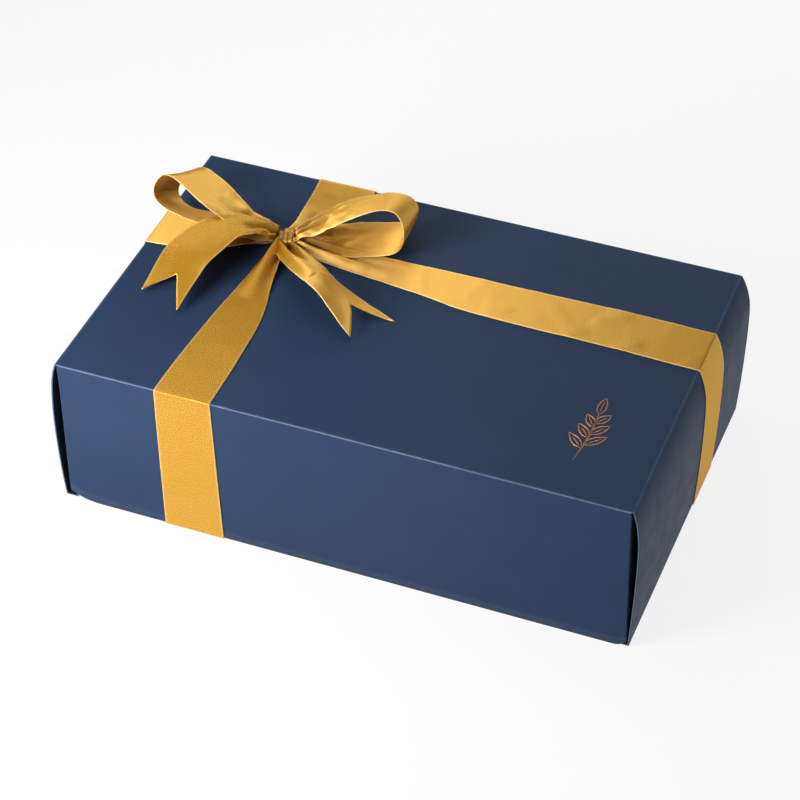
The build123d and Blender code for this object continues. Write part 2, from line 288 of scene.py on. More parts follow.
def grainyFinish(name, colour, roughness, tones=None, gloss=None, bumps=(), **sockets):
    # Finish made with noises. A grain is a noise's (scale, detail, roughness, stretch). tones are (grain,
    # low, high, first colour, second colour), gloss is (grain, first roughness, second roughness), and each
    # bump is (grain, strength, height in millimetres)
    finish, shader = startMaterial(name, colour, roughness, **sockets)

    def grain(scale, detail, rough=0.5, stretch=(1, 1, 1)):
        return noiseValue(objectPlace(shader, stretch), scale, detail, rough)

    if tones:
        spec, low, high, first, second = tones
        feed(shader, Base_Color=blendColours(spread(grain(*spec), low, high), first, second))
    if gloss:
        spec, first, second = gloss
        feed(shader, Roughness=spread(grain(*spec), 0.3, 0.7, first, second))
    addBumps(shader, *((grain(*spec), strength, depth) for spec, strength, depth in bumps))
    return finish


navyBoard = {
    "colour": (0.0155, 0.0330, 0.0740),
    "paleColour": (0.0176, 0.0363, 0.0812),
    "wearColour": (0.21, 0.27, 0.40),
    # the cut edge's paler blue-grey is painted highlight, for the light its thin edge catches
    "backColour": (0.006, 0.009, 0.018),
    "edgeColour": (0.06, 0.085, 0.13),
    "roughness": 0.52,
    "specular": 0.10,
    "wear": 0.62,            # how pale the rubbed creases are
}


def laminatedBoard():
    # Soft-touch navy laminate: faint mottle, paper grain, and creases rubbed pale
    dull = navyBoard["roughness"]
    finish, shader = startMaterial(
        "navyLaminate", navyBoard["colour"], dull, Specular_IOR_Level=navyBoard["specular"]
    )
    place = objectPlace(shader)
    mottle = spread(noiseValue(place, 28, 3), 0.3, 0.7)
    body = blendColours(mottle, navyBoard["colour"], navyBoard["paleColour"])
    rubbing = spread(noiseValue(place, 420, 3, 0.6), 0.3, 0.6, 0.55, 1.0)
    wear = combine("MULTIPLY", combine("MULTIPLY", readMark(shader, "wear"), rubbing), navyBoard["wear"])
    gloss = spread(noiseValue(place, 120, 3), 0.3, 0.7, dull - 0.03, dull + 0.05)
    feed(shader, Base_Color=blendColours(wear, body, navyBoard["wearColour"]), Roughness=gloss)
    grain, ripple = noiseValue(place, 2600, 2), noiseValue(place, 55, 2)
    addBumps(shader, (ripple, 0.25, 0.15), (grain, 0.12, 0.02))
    return finish


def plainBoard(name, colour, roughness):
    # Uncoated paper: short fibres and a soft mottle
    fibres = (900, 4, 0.65, (1, 2.5, 1))
    return grainyFinish(
        name,
        colour,
        roughness,
        tones=(fibres, 0.35, 0.7, colour, lighter(colour, 1.35)),
        bumps=[((1500, 3), 0.25, 0.03)],
        Specular_IOR_Level=0.3,
    )


goldSatin = {
    "colour": (0.80, 0.366, 0.002),
    "deepColour": (0.35, 0.135, 0.0005),
    # painted glint colour for the satin's sparkle flecks
    "paintedGlintColour": (1.0, 0.66, 0.10),
    "edgeColour": (0.92, 0.66, 0.26),
    # painted shade: dark brown laid into the colour in the tight folds at the knot
    "paintedFoldShadeColour": (0.17, 0.055, 0.0004),
    "metallic": 0.5,
    "ior": 2.7,
    "specular": 0.72,
    "tint": (1.0, 0.88, 0.46),
    "roughness": 0.51,
    "anisotropy": 0.94,
    # Stretch, detail and roughness of the weave's noises, across and along the ribbon
    "threads": ((7000, 1500, 1), 2, 0.5),
    "sparkle": ((3300, 2300, 1), 2, 0.6),
    "cloud": ((120, 60, 1), 2, 0.5),
}


def satin():
    # Warp floats run along the ribbon: long fine threads, a grainy sparkle whose pale flecks are painted
    # glints, a paler woven edge, and painted shade in the folds at the knot
    dull = goldSatin["roughness"]
    finish, shader = startMaterial(
        "goldSatin",
        goldSatin["colour"],
        dull,
        Metallic=goldSatin["metallic"],
        Anisotropic=goldSatin["anisotropy"],
        Specular_Tint=(*goldSatin["tint"], 1),
        Specular_IOR_Level=goldSatin["specular"],
        IOR=goldSatin["ior"],
    )
    cloth = addNode(shader, "ShaderNodeUVMap")
    tangent = addNode(shader, "ShaderNodeTangent")
    tangent.direction_type = "UV_MAP"
    tangent.uv_map = cloth.uv_map = "cloth"

    def grain(stretch, detail, rough):
        place = addNode(shader, "ShaderNodeMapping", Vector=cloth.outputs["UV"], Scale=stretch)
        return noiseValue(place.outputs["Vector"], 1.0, detail, rough)

    threads, sparkle, cloud = (grain(*goldSatin[key]) for key in ("threads", "sparkle", "cloud"))
    body = blendColours(spread(sparkle, 0.38, 0.58), goldSatin["deepColour"], goldSatin["colour"])
    # painted glints: pale gold flecks at the noise's peaks, in the colour whatever the light
    body = blendColours(spread(sparkle, 0.55, 0.66), body, goldSatin["paintedGlintColour"])
    edge = combine("MULTIPLY", readMark(shader, "selvedge"), 0.6)
    body = blendColours(edge, body, goldSatin["edgeColour"])
    # painted shade darkens the colour in the folds and pleats gathered at the knot
    colour = blendColours(readMark(shader, "paintedFoldShade"), body, goldSatin["paintedFoldShadeColour"])
    gloss = spread(sparkle, 0.35, 0.65, dull + 0.10, dull - 0.10)
    feed(shader, Base_Color=colour, Roughness=gloss, Tangent=tangent.outputs["Tangent"])
    addBumps(shader, (cloud, 0.2, 0.3), (threads, 0.5, 0.06), (sparkle, 0.14, 0.07))
    return finish


boardFinishes = [
    laminatedBoard(),
    plainBoard("boardBack", navyBoard["backColour"], 0.75),
    plainBoard("boardCutEdge", navyBoard["edgeColour"], 0.8),
]
satinFinish = satin()
print("materials for the board and the ribbon made")


# Camera at the photograph's angle, plain white floor and soft lamps

cameraSet = {
    "azimuth": 22.677,
    "elevation": 41.664,
    "roll": -1.457,
    "place": (324.25, -784.27, 785.97),
    "lens": 118.725,
    "sensor": 36.0,
}


def placeCamera():
    azimuth, elevation, roll = (math.radians(cameraSet[key]) for key in ("azimuth", "elevation", "roll"))
    level = math.cos(elevation)
    right = Vector((math.cos(azimuth), math.sin(azimuth), 0))
    back = Vector((math.sin(azimuth) * level, -math.cos(azimuth) * level, math.sin(elevation)))
    up = back.cross(right)
    turnedRight = right * math.cos(roll) + up * math.sin(roll)
    turnedUp = up * math.cos(roll) - right * math.sin(roll)
    lens = bpy.data.cameras.new("camera")
    lens.lens, lens.sensor_width = cameraSet["lens"], cameraSet["sensor"]
    camera = putInScene("camera", lens)
    turn = Matrix((turnedRight, turnedUp, back)).transposed().to_4x4()
    camera.matrix_world = Matrix.Translation(Vector(cameraSet["place"]) * mm) @ turn
    bpy.context.scene.camera = camera


lamps = {
    "keyLamp": {"place": (-262, -358, 288), "aim": (-20, 0, 60), "size": 0.24, "power": 3.8},
    "topLamp": {"place": (-110, 80, 400), "aim": (-60, 20, 80), "size": 0.24, "power": 0.36},
    "backLamp": {"place": (-60, 640, 290), "aim": (-20, 20, 80), "size": 0.5, "power": 1.4},
    "sideLamp": {"place": (1200, 650, 700), "aim": (0, 0, 40), "size": 1.0, "power": 2.2},
}
floorSet = {
    "halfSize": 6.0,         # metres
    "colour": (0.88, 0.88, 0.88),
    "glow": 0.85,
    "fade": (0.02, 0.50),    # heights between which the sky dims from horizon to zenith
    "horizon": 1.0,
    "zenith": 0.06,
}


def placeLamps():
    for name, lamp in lamps.items():
        light = bpy.data.lights.new(name, "AREA")
        light.energy, light.size = lamp["power"], lamp["size"]
        place = Vector(lamp["place"])
        holder = putInScene(name, light)
        holder.location = place * mm
        holder.rotation_euler = (place - Vector(lamp["aim"])).to_track_quat("Z", "Y").to_euler()


def makeFloor():
    half = floorSet["halfSize"]
    mesh = bpy.data.meshes.new("floor")
    corners = [(-half, -half, 0), (half, -half, 0), (half, half, 0), (-half, half, 0)]
    mesh.from_pydata(corners, [], [(0, 1, 2, 3)])
    putInScene("floor", mesh)
    material = bpy.data.materials.new("paleFloor")
    material.use_nodes = True
    material.node_tree.nodes.clear()
    output = material.node_tree.nodes.new("ShaderNodeOutputMaterial")
    matte = addNode(output, "ShaderNodeBsdfDiffuse", Color=(*floorSet["colour"], 1))
    glow = addNode(output, "ShaderNodeEmission", Color=(1, 1, 1, 1), Strength=1.0)
    rays = addNode(output, "ShaderNodeLightPath")
    direct = combine("MAXIMUM", rays.outputs["Is Camera Ray"], rays.outputs["Is Glossy Ray"])
    direct = combine("MAXIMUM", direct, rays.outputs["Is Transmission Ray"])
    blend = addNode(output, "ShaderNodeMixShader")
    shares = (combine("MULTIPLY", direct, floorSet["glow"]), matte.outputs[0], glow.outputs[0])
    for socket, value in zip(blend.inputs, shares):
        setInput(socket, value)
    feed(output, Surface=blend.outputs[0])
    mesh.materials.append(material)


def makeSky():
    # White round the horizon and dimmer overhead, the same for every ray
    sky = bpy.data.worlds.new("sky")
    bpy.context.scene.world = sky
    sky.use_nodes = True
    background = sky.node_tree.nodes["Background"]
    direction = addNode(background, "ShaderNodeTexCoord").outputs["Generated"]
    height = addNode(background, "ShaderNodeSeparateXYZ", Vector=direction).outputs["Z"]
    strength = spread(height, *floorSet["fade"], floorSet["horizon"], floorSet["zenith"])
    feed(background, Color=(1, 1, 1, 1), Strength=strength)


placeCamera()
placeLamps()
makeFloor()
makeSky()
bpy.context.scene.view_settings.view_transform = "Standard"
print("camera, lamps and floor placed")


# Folded trays: the lid, and the base that stands in it

def lidSurface(x, y):
    # Height of the lid's panel: it droops a little to its ends and isn't quite flat
    droop = lidTray["sag"] * abs(x / lidTray["halfX"]) ** 2.2
    waves = lidTray["waves"] * (1 + math.sin(x / 31 + 1.3) * math.cos(y / 23))
    return lidTray["panelZ"] - droop - waves


def bowOut(drop, tray, end):
    # How far a short wall stands out at a depth below its crease
    return curveThrough(tray["bows"][end], drop)


def creaseShift(x, y, drop, tray):
    # Small shift along X near the short walls' creases, which aren't quite square to the long walls
    middle, turn = tray["creaseShift"][1 if x > 0 else -1]
    fade = min(1.0, abs(x) / tray["halfX"]) ** 4 * max(0.0, 1 - max(0.0, drop) / 14) ** 1.5
    return (middle + turn * y / tray["halfY"]) * fade


def gradedPlaces(half, fine, count):
    # Places from -half to half, close together near both ends
    ends = [half - step * fine for step in (0, 0.35, 1, 2, 3.5, 6, 9, 13, 18)]
    inner = [mix(-ends[-1], ends[-1], step / count) for step in range(1, count)]
    return sorted([-place for place in ends] + inner + ends)


def longWallPath(tray):
    # Outer face of a long wall, (outward, height), from the panel's edge to the free edge
    top, half = tray["panelZ"], tray["halfY"]
    edge, corner = Vector((half, tray["rimZ"])), Vector((half, top))
    arc = roundCorner(Vector((half - board["lead"], top)), corner, edge, board["creaseRadius"], 6)
    shares = [0.005, 0.02] + [step / 16 for step in range(1, 17)]
    return arc, [mix(arc[-1], edge, share) for share in shares]


def shortWallPath(tray, end):
    # Outer face of a short wall: over the crease, down the bowed wall, round the hem and up inside
    top, half, rim = tray["panelZ"], tray["halfX"], tray["rimZ"]
    depth = top - rim
    drops = [1.6, 2.2] + list(np.linspace(3.2, depth - 2, 26))
    bow = [Vector((half + bowOut(drop, tray, end), top - drop)) for drop in drops]
    before, corner = Vector((half - board["lead"], top)), Vector((half, top))
    arc = roundCorner(before, corner, bow[0], board["creaseRadius"], 6)
    inner = half - tray["sideStack"]
    outerFoot, innerFoot = Vector((half + bowOut(depth, tray, end), rim)), Vector((inner, rim))
    innerEnd = Vector((inner, top - board["thickness"] - 0.4))
    hem = roundCorner(bow[-1], outerFoot, innerFoot, board["hemRadius"], 4)
    hem += roundCorner(outerFoot, innerFoot, innerEnd, board["hemRadius"], 4)
    inside = [mix(hem[-1], innerEnd, step / 8) for step in range(1, 9)]
    return arc, bow + hem + inside, len(arc) + len(bow)


def cornerRise(x, side, tray):
    # How far the free edge of a long wall rises near its ends
    end = 1 if x > 0 else -1
    reach, height, power = tray["cornerCuts"][(end, side)]
    return height * max(0.0, (abs(x) - (tray["halfX"] - reach)) / reach) ** power


def foldedTray(name, node, body, tray, upright):
    # One sheet of board folded to a tray that opens downward, or upward when it is upright
    radius = board["creaseRadius"]
    columns = gradedPlaces(tray["halfX"] - radius, 1.0, 30)
    rows = gradedPlaces(tray["halfY"] - radius, 1.0, 20)
    points, wear, faces, numbers = [], [], [], {}

    def put(key, x, y, z, worn=0.0, shifted=True):
        numbers[key] = len(points)
        if shifted:
            x += creaseShift(x, y, tray["panelZ"] - z, tray)
        points.append((x, y, z))
        wear.append(worn)

    def join(*keys):
        if all(key in numbers for key in keys):
            faces.append(tuple(numbers[key] for key in keys))

    panel = lidSurface if tray is lidTray else (lambda x, y: tray["panelZ"])
    lastColumn, lastRow = len(columns) - 1, len(rows) - 1
    for i, x in enumerate(columns):
        for j, y in enumerate(rows):
            edge = i in (0, lastColumn) or j in (0, lastRow)
            put(("panel", i, j), x, y, panel(x, y), 0.4 if edge else 0.0)
    for i in range(lastColumn):
        for j in range(lastRow):
            join(("panel", i, j), ("panel", i + 1, j), ("panel", i + 1, j + 1), ("panel", i, j + 1))

    # Long walls, whose ends fold in as flaps behind the short walls
    arc, straight = longWallPath(tray)
    wallPath = arc[1:] + straight
    foldX = tray["halfX"] - tray["foldInset"]
    foldArc = 4
    flapSteps = [0.1, 0.4, 1.0]
    for side in (-1, 1):
        for i, x in enumerate(columns):
            numbers[(side, i, 0)] = numbers[("panel", i, 0 if side < 0 else lastRow)]
        for k, spot in enumerate(wallPath, 1):
            inArc = k < len(arc)
            shift = min(1.0, k / (len(arc) - 1))
            for i, x in enumerate(columns):
                wallX = x * mix(1.0, (foldX - board["foldRadius"]) / columns[-1], shift)
                drop = tray["panelZ"] - panel(x, side * tray["halfY"])
                fall = 0.0 if inArc else (arc[-1].y - spot.y) / (arc[-1].y - tray["rimZ"])
                z = spot.y - drop * (1 - fall) + fall * cornerRise(wallX, side, tray)
                flare = math.copysign(tray["flare"][1 if x > 0 else -1], x)
                wallX += flare * fall * abs(x / columns[-1]) ** 8
                crease = math.sin(math.pi * min(1.0, k / len(arc))) ** 2 if inArc else 0.0
                put((side, i, k), wallX, side * spot.x, z, max(crease, 0.25 if k == len(wallPath) else 0.0))
            for end, i in ((-1, 0), (1, lastColumn)):
                root = points[numbers[(side, i, k)]]
                lean = end * tray["flare"][end] * fall
                if root[2] > tray["panelZ"] - board["thickness"] - tray["flapTrim"] or inArc:
                    continue
                for step in range(1, foldArc + 1):
                    angle = step / foldArc * math.pi / 2
                    x = end * (foldX - board["foldRadius"] * (1 - math.sin(angle))) + lean
                    y = side * (tray["halfY"] - board["foldRadius"] * (1 - math.cos(angle)))
                    put((side, end * 100 + end * step, k), x, y, root[2], 0.35 * math.sin(angle))
                for step, share in enumerate(flapSteps, foldArc + 1):
                    y = side * (tray["halfY"] - board["foldRadius"] - share * tray["flapLength"])
                    put((side, end * 100 + end * step, k), end * foldX + lean, y, root[2], 0.0, False)
        for k in range(len(wallPath)):
            for i in range(lastColumn):
                join((side, i, k), (side, i + 1, k), (side, i + 1, k + 1), (side, i, k + 1))
            for end, i in ((-1, 0), (1, lastColumn)):
                chain = [i] + [end * 100 + end * step for step in range(1, foldArc + len(flapSteps) + 1)]
                for a, b in zip(chain, chain[1:]):
                    join((side, a, k), (side, b, k), (side, b, k + 1), (side, a, k + 1))

    # Short walls, bowed outside, hemmed at the free edge and doubled inside
    innerHalf = tray["halfY"] - board["thickness"] - 0.3
    for end in (-1, 1):
        arc, rest, hemStart = shortWallPath(tray, end)
        wallPath = arc[1:] + rest
        for j in range(len(rows)):
            numbers[("short", end, j, 0)] = numbers[("panel", 0 if end < 0 else lastColumn, j)]
        for k, spot in enumerate(wallPath, 1):
            outerHalf = mix(rows[-1], tray["halfY"] - tray["slot"], min(1.0, k / len(arc)))
            half = mix(outerHalf, innerHalf, smoothStep(hemStart - 3, hemStart + 4, k))
            for j, y in enumerate(rows):
                drop = tray["panelZ"] - panel(end * tray["halfX"], y)
                fade = max(0.0, 1 - k / len(wallPath) * 1.5)
                crease = 0.5 * math.sin(math.pi * min(1.0, k / len(arc))) ** 2
                worn = max(crease, 0.5 if j in (0, lastRow) else 0.0)
                place = (end * spot.x, y / rows[-1] * half, spot.y - drop * fade)
                put(("short", end, j, k), *place, worn, k < hemStart)
        for k in range(len(wallPath)):
            for j in range(lastRow):
                join(*(("short", end, a, b) for a, b in ((j, k), (j + 1, k), (j + 1, k + 1), (j, k + 1))))

    if upright:
        points = [(x, y, tray["panelZ"] - z) for x, y, z in points]
    piece = makePiece(name, node, body, points, faces, boardFinishes, {"wear": wear})
    settleFaces(piece, (3, 3, 0 if upright else tray["panelZ"]), -1 if upright else 1)
    addThickness(piece, board["thickness"], -1, (1, 2))


foldedTray("lidBoard", "lid", "lid", lidTray, False)

baseTray = dict(lidTray)
baseTray.update(
    halfX=baseHigh.x,
    halfY=baseHigh.y,
    panelZ=baseHigh.z,
    rimZ=0.0,
    bows={end: [(0, 0), (90, 0)] for end in (-1, 1)},
    flare={-1: 0.0, 1: 0.0},
    creaseShift={-1: (0.0, 0.0), 1: (0.0, 0.0)},
    cornerCuts={(a, b): (4.0, 1.5, 1.3) for a in (-1, 1) for b in (-1, 1)},
)
foldedTray("baseBoard", "base_tray", "base", baseTray, True)
print("lid and base folded")


# Ribbon: strands, loops and tails are woven bands built row by row

ribbon = {
    "width": 25.0,
    "thickness": 0.32,
    "middleThinness": 0.75,  # the woven edge is thicker than the middle
    "gap": 0.12,
    "columns": 30,
    "rowPitch": 0.9,
    "edgeWidth": 0.9,
    "tuck": 14.0,            # how far a strand runs up inside the lid
    "pleatHeight": 0.16,
    "knotLift": 2.2,         # how far the strands rise to the knot
}


def acrossShares(count=ribbon["columns"]):
    # Places across the ribbon from -1 to 1, closer together at the woven edges
    half = ribbon["width"] / 2
    inner = np.linspace(-(half - ribbon["edgeWidth"]), half - ribbon["edgeWidth"], count - 4)
    edges = [1.0, (half - ribbon["edgeWidth"] * 0.45) / half]
    return [-share for share in edges] + list(inner / half) + edges[::-1]


def bandPiece(name, node, rows, paintedFoldShades, places=None):
    # One woven band from rows of points that run across it; its painted fold shades tell how much painted
    # shade each point gets in a tight fold, and places how far along the band
    count = len(rows[0])
    shares = acrossShares(count)
    edgeStart = 1 - 2 * ribbon["edgeWidth"] / ribbon["width"] * 1.1
    selvedge = [smoothStep(edgeStart, 1.0, abs(share)) for share in shares] * len(rows)
    marks = {"selvedge": selvedge, "paintedFoldShade": [value for row in paintedFoldShades for value in row]}
    points, faces = [point for row in rows for point in row], gridFaces(len(rows), count)
    piece = makePiece(name, node, "lid", points, faces, [satinFinish], marks)
    cloth = piece.data.uv_layers.new(name="cloth")
    middles = [Vector(row[count // 2]) for row in rows]
    runs = np.concatenate([[0], np.cumsum([(b - a).length for a, b in zip(middles, middles[1:])])])
    for corner in piece.data.loops:
        row, column = divmod(corner.vertex_index, count)
        along = places[row][column] if places else runs[row]
        cloth.data[corner.index].uv = (shares[column] * ribbon["width"] / 2 * mm, along * mm)
    thick = piece.vertex_groups.new(name="wovenEdge")
    for number, share in enumerate(selvedge):
        thick.add([number], share, "REPLACE")
    shell = addThickness(piece, ribbon["thickness"], 0)
    shell.vertex_group = "wovenEdge"
    shell.thickness_vertex_group = ribbon["middleThinness"]


def crumple(point, strength, scale, seed):
    # Smooth noise at a point, about -strength to strength
    return strength * 1.6 * noise.noise(Vector(point) / scale + Vector((seed, 2.7 * seed, 1.3)))


# Both edges of each strand as (place outward, place across) pairs, its pleats at the knot, how far they
# reach, and its flat length
strands = {
    "ribbon_front": {
        "out": (0, -1),
        "low": [
            *((-22.5, -69.5), (-16, -71.9), (0, -74.2), (30, -77.4)),
            *((60, -79.3), (77.5, -79.8), (152, -80.6)),
        ],
        "high": [
            *((-22.5, -64.2), (-15, -63.6), (-1.4, -61.6), (20.1, -56.8)),
            *((49.6, -55.0), (77.5, -54.6), (152, -53.5)),
        ],
        "pleats": 1.2,
        "fold": 34.0,
        "flat": 190.0,
    },
    "ribbon_back": {
        "out": (0, 1),
        "low": [(29, 63.0), (40, 56.5), (58, 48.5), (77.5, 44.8), (152, 46.0)],
        "high": [(29, 67.6), (38.6, 68.0), (52, 69.8), (68, 70.8), (77.5, 71.5), (152, 71.0)],
        "pleats": 1.5,
        "fold": 30.0,
        "flat": 140.0,
    },
    "ribbon_right": {
        "out": (1, 0),
        "low": [
            *((-62, 23.6), (-52, 22.4), (-30, 20.4), (2, 16.8), (17, 14.2)),
            *((44, 12.9), (84, 12.5), (125, 11.2), (200, 12.0)),
        ],
        "high": [
            *((-62, 28.4), (-45, 31.0), (-21.8, 34.4), (-2.8, 35.6)),
            *((36, 35.9), (89, 36.6), (125, 36.0), (200, 37.0)),
        ],
        "pleats": 1.5,
        "fold": 55.0,
        "flat": 281.0,
    },
    "ribbon_left": {
        "out": (-1, 0),
        "low": [(70, -30.0), (88, -32.5), (110, -33.2), (125, -33.4), (200, -33.4)],
        "high": [
            *((70, -24.5), (80, -20.5), (87.6, -18.2), (105, -12.6)),
            *((113.8, -10.7), (125, -9.6), (200, -8.6)),
        ],
        "pleats": 1.5,
        "fold": 30.0,
        "flat": 150.0,
    },
}


def strandPath(start, edge, side):
    # Run of a strand in (outward, height): along the lid, down the wall, under the rim and up inside;
    # side is -1 or 1 for the left or the right short wall, and 0 for a long wall
    skin = ribbon["gap"] + ribbon["thickness"] / 2
    top, rim, radius = lidTray["panelZ"], lidTray["rimZ"], board["creaseRadius"] + skin

    def onWall(drop, z):
        return Vector((edge + skin + (bowOut(drop, lidTray, side) if side else 0.0), z))

    wall = [onWall(drop, top - drop) for drop in np.arange(1.6, top - rim - 1, 1.6)]
    before, corner = Vector((edge - board["lead"], top + skin)), Vector((edge + skin, top + skin))
    crease = roundCorner(before, corner, wall[0], radius, 7)
    inner = edge - (lidTray["sideStack"] if side else board["thickness"]) - 0.1 - skin
    turnOut, turnIn = onWall(top - rim, rim - skin), Vector((inner, rim - skin))
    tip = Vector((inner, rim + ribbon["tuck"]))
    under = roundCorner(wall[-1], turnOut, turnIn, 0.3, 4) + roundCorner(turnOut, turnIn, tip, 0.3, 4)
    inside = [mix(under[-1], tip, step / 8) for step in range(1, 9)]
    count = int((edge - 2 - start) / ribbon["rowPitch"])
    along = [Vector((mix(start, edge - 2, step / count), top + skin)) for step in range(count + 1)]
    return along + crease + wall + under + inside, len(along)


def strandRows(strand):
    # Rows of points of one strand, and how much painted shade each point gets in its pleats at the knot
    outX, outY = strand["out"]
    edge = lidTray["halfX"] if outX else lidTray["halfY"]
    out, across = Vector((outX, outY)), Vector((-outY, outX))
    start = strand["low"][0][0]
    path, flatCount = strandPath(start, edge, outX)
    rows, paintedFoldShades, run = [], [], start
    for number, spot in enumerate(path):
        if number:
            run += (spot - path[number - 1]).length
        low, high = curveThrough(strand["low"], run), curveThrough(strand["high"], run)
        gather = max(0.0, 1 - (run - start) / strand["fold"])
        spare = max(0.0, ribbon["width"] ** 2 - (high - low) ** 2) ** 0.5
        height = ribbon["pleatHeight"] * spare / strand["pleats"] * gather**1.3
        row, rowFoldShades = [], []
        for share in acrossShares():
            x, y = out * spot.x + across * mix(low, high, (share + 1) / 2)
            z, paintedFoldShade, rowsLeft = spot.y, 0.0, flatCount + 4 - number
            if outX and spot.x > edge - board["lead"]:
                x += creaseShift(x, y, lidTray["panelZ"] - z, lidTray)
            if rowsLeft > 0:
                z += lidSurface(x, y) - lidTray["panelZ"]
                wave = math.cos(strand["pleats"] * math.pi * (share + 0.15) + 0.6)
                z += height * (1 + wave) + ribbon["knotLift"] * gather**3
                rise = max(0.0, crumple((x, y, 0), 0.16 + 0.45 * gather, 9.0, 3.0))
                z += rise * smoothStep(0, 12, rowsLeft)
                # painted shade, deepest in the pleat valleys near the knot
                paintedFoldShade = min(0.85, gather**1.5 * (0.2 + 0.5 * (1 - wave)))
            row.append((x, y, z))
            rowFoldShades.append(paintedFoldShade)
        rows.append(row)
        paintedFoldShades.append(rowFoldShades)
    return rows, paintedFoldShades


for node, strand in strands.items():
    name = "strand" + node.split("_")[1].capitalize()
    rows, paintedFoldShades = strandRows(strand)
    bandPiece(name, node, rows, paintedFoldShades)
print("ribbon strands laid")


# Stations of the bow, as in the solids: middle along X, along Y and up as shares of reach and rise,
# the ribbon's width as a share, and the heading and tilt of the line across it in degrees
bow = {
    "knotX": -66.0,
    "knotY": 25.0,
    "rise": 24.0,
    # In the first and the second half of a loop's or tail's length
    "foldHeight": (0.17, 0.09),
    "foldLean": (0.8, -0.5),
    "foldDrift": 0.7,
    "bowLoopRight": {
        "node": "bow_loop_right",
        "reach": 50.0,
        "flat": 126.0,
        "folds": 2.2,
        "foldLength": 34.0,
        "seed": 1.0,
        "crush": 0.9,
        "curl": 0.5,
        "stations": [
            (0.085, 0.06, 0.27, 0.34, 108, -8),
            (0.25, 0.19, 0.46, 0.64, 112, -11),
            (0.42, 0.30, 0.64, 0.84, 108, -13),
            (0.60, 0.38, 0.79, 0.96, 103, -17),
            (0.76, 0.44, 0.88, 1.00, 99, -19),
            (0.90, 0.46, 0.88, 1.00, 96, -20),
            (0.98, 0.45, 0.77, 1.00, 95, -19),
            (1.02, 0.42, 0.57, 1.00, 97, -14),
            (1.00, 0.40, 0.36, 1.00, 98, -7),
            (0.92, 0.39, 0.20, 1.00, 98, -3),
            (0.76, 0.37, 0.10, 1.00, 98, -1),
            (0.55, 0.30, 0.08, 1.00, 99, 0),
            (0.32, 0.21, 0.08, 0.84, 104, 0),
            (0.11, 0.10, 0.10, 0.48, 107, -7),
        ],
    },
    "bowLoopLeft": {
        "node": "bow_loop_left",
        "reach": 50.0,
        "flat": 132.0,
        "folds": 2.0,
        "foldLength": 36.0,
        "seed": 2.0,
        "crush": 0.6,
        "curl": 0.4,
        "stations": [
            (-0.10, 0.07, 0.28, 0.36, 90, -17),
            (-0.28, 0.07, 0.36, 0.60, 91, -17),
            (-0.47, 0.07, 0.51, 0.84, 88, -17),
            (-0.65, 0.10, 0.68, 1.00, 82, -19),
            (-0.83, 0.16, 0.82, 1.00, 78, -20),
            (-0.99, 0.21, 0.90, 1.00, 81, -23),
            (-1.11, 0.20, 0.81, 1.00, 85, -31),
            (-1.17, 0.13, 0.60, 1.00, 87, -35),
            (-1.13, 0.08, 0.42, 1.00, 87, -34),
            (-1.00, 0.04, 0.34, 1.00, 87, -33),
            (-0.79, 0.03, 0.30, 1.00, 87, -28),
            (-0.57, 0.02, 0.26, 0.88, 89, -26),
            (-0.34, 0.04, 0.20, 0.68, 93, -20),
            (-0.10, 0.07, 0.14, 0.40, 98, -12),
        ],
    },
    "bowTailLeft": {
        "node": "bow_tail_left",
        "reach": 55.0,
        "flat": 74.0,
        "folds": 1.5,
        "foldLength": 26.0,
        "seed": 3.0,
        "crush": 1.0,
        "curl": 1.6,
        "notch": 15.0,
        "stations": [
            (-0.08, -0.02, 0.34, 0.26, 100, -11),
            (-0.18, -0.09, 0.56, 0.58, 114, -12),
            (-0.31, -0.17, 0.64, 0.86, 121, -9),
            (-0.43, -0.30, 0.60, 1.00, 131, -4),
            (-0.53, -0.45, 0.50, 1.00, 139, 0),
            (-0.59, -0.59, 0.37, 1.00, 147, 2),
            (-0.62, -0.76, 0.21, 0.96, 153, -2),
            (-0.638, -0.943, 0.062, 0.88, 158, -3),
        ],
    },
    "bowTailRight": {
        "node": "bow_tail_right",
        "reach": 55.0,
        "flat": 76.0,
        "folds": 1.5,
        "foldLength": 26.0,
        "seed": 4.0,
        "crush": 0.12,
        "curl": 1.6,
        "notch": 15.0,
        "stations": [
            (-0.033, -0.024, 0.17, 0.30, 78, -12),
            (0.15, -0.20, 0.36, 0.54, 80, -18),
            (0.31, -0.32, 0.46, 0.76, 84, -22),
            (0.465, -0.42, 0.48, 0.90, 85, -27),
            (0.61, -0.485, 0.38, 1.00, 89, -28),
            (0.81, -0.58, 0.24, 0.96, 74, -22),
            (1.027, -0.678, 0.083, 0.88, 55, -7),
        ],
    },
}


def splineThrough(values, steps):
    # Catmull-Rom curve through rows of numbers, with steps points to each span
    values = np.array(values, float)
    padded = np.vstack([2 * values[0] - values[1], values, 2 * values[-1] - values[-2]])
    result = []
    for k in range(len(values) - 1):
        a, b, c, d = padded[k : k + 4]
        for t in np.arange(steps) / steps:
            second, third = 2 * a - 5 * b + 4 * c - d, 3 * b - a - 3 * c + d
            result.append(0.5 * (2 * b + (c - a) * t + second * t**2 + third * t**3))
    result.append(values[-1])
    return np.array(result)


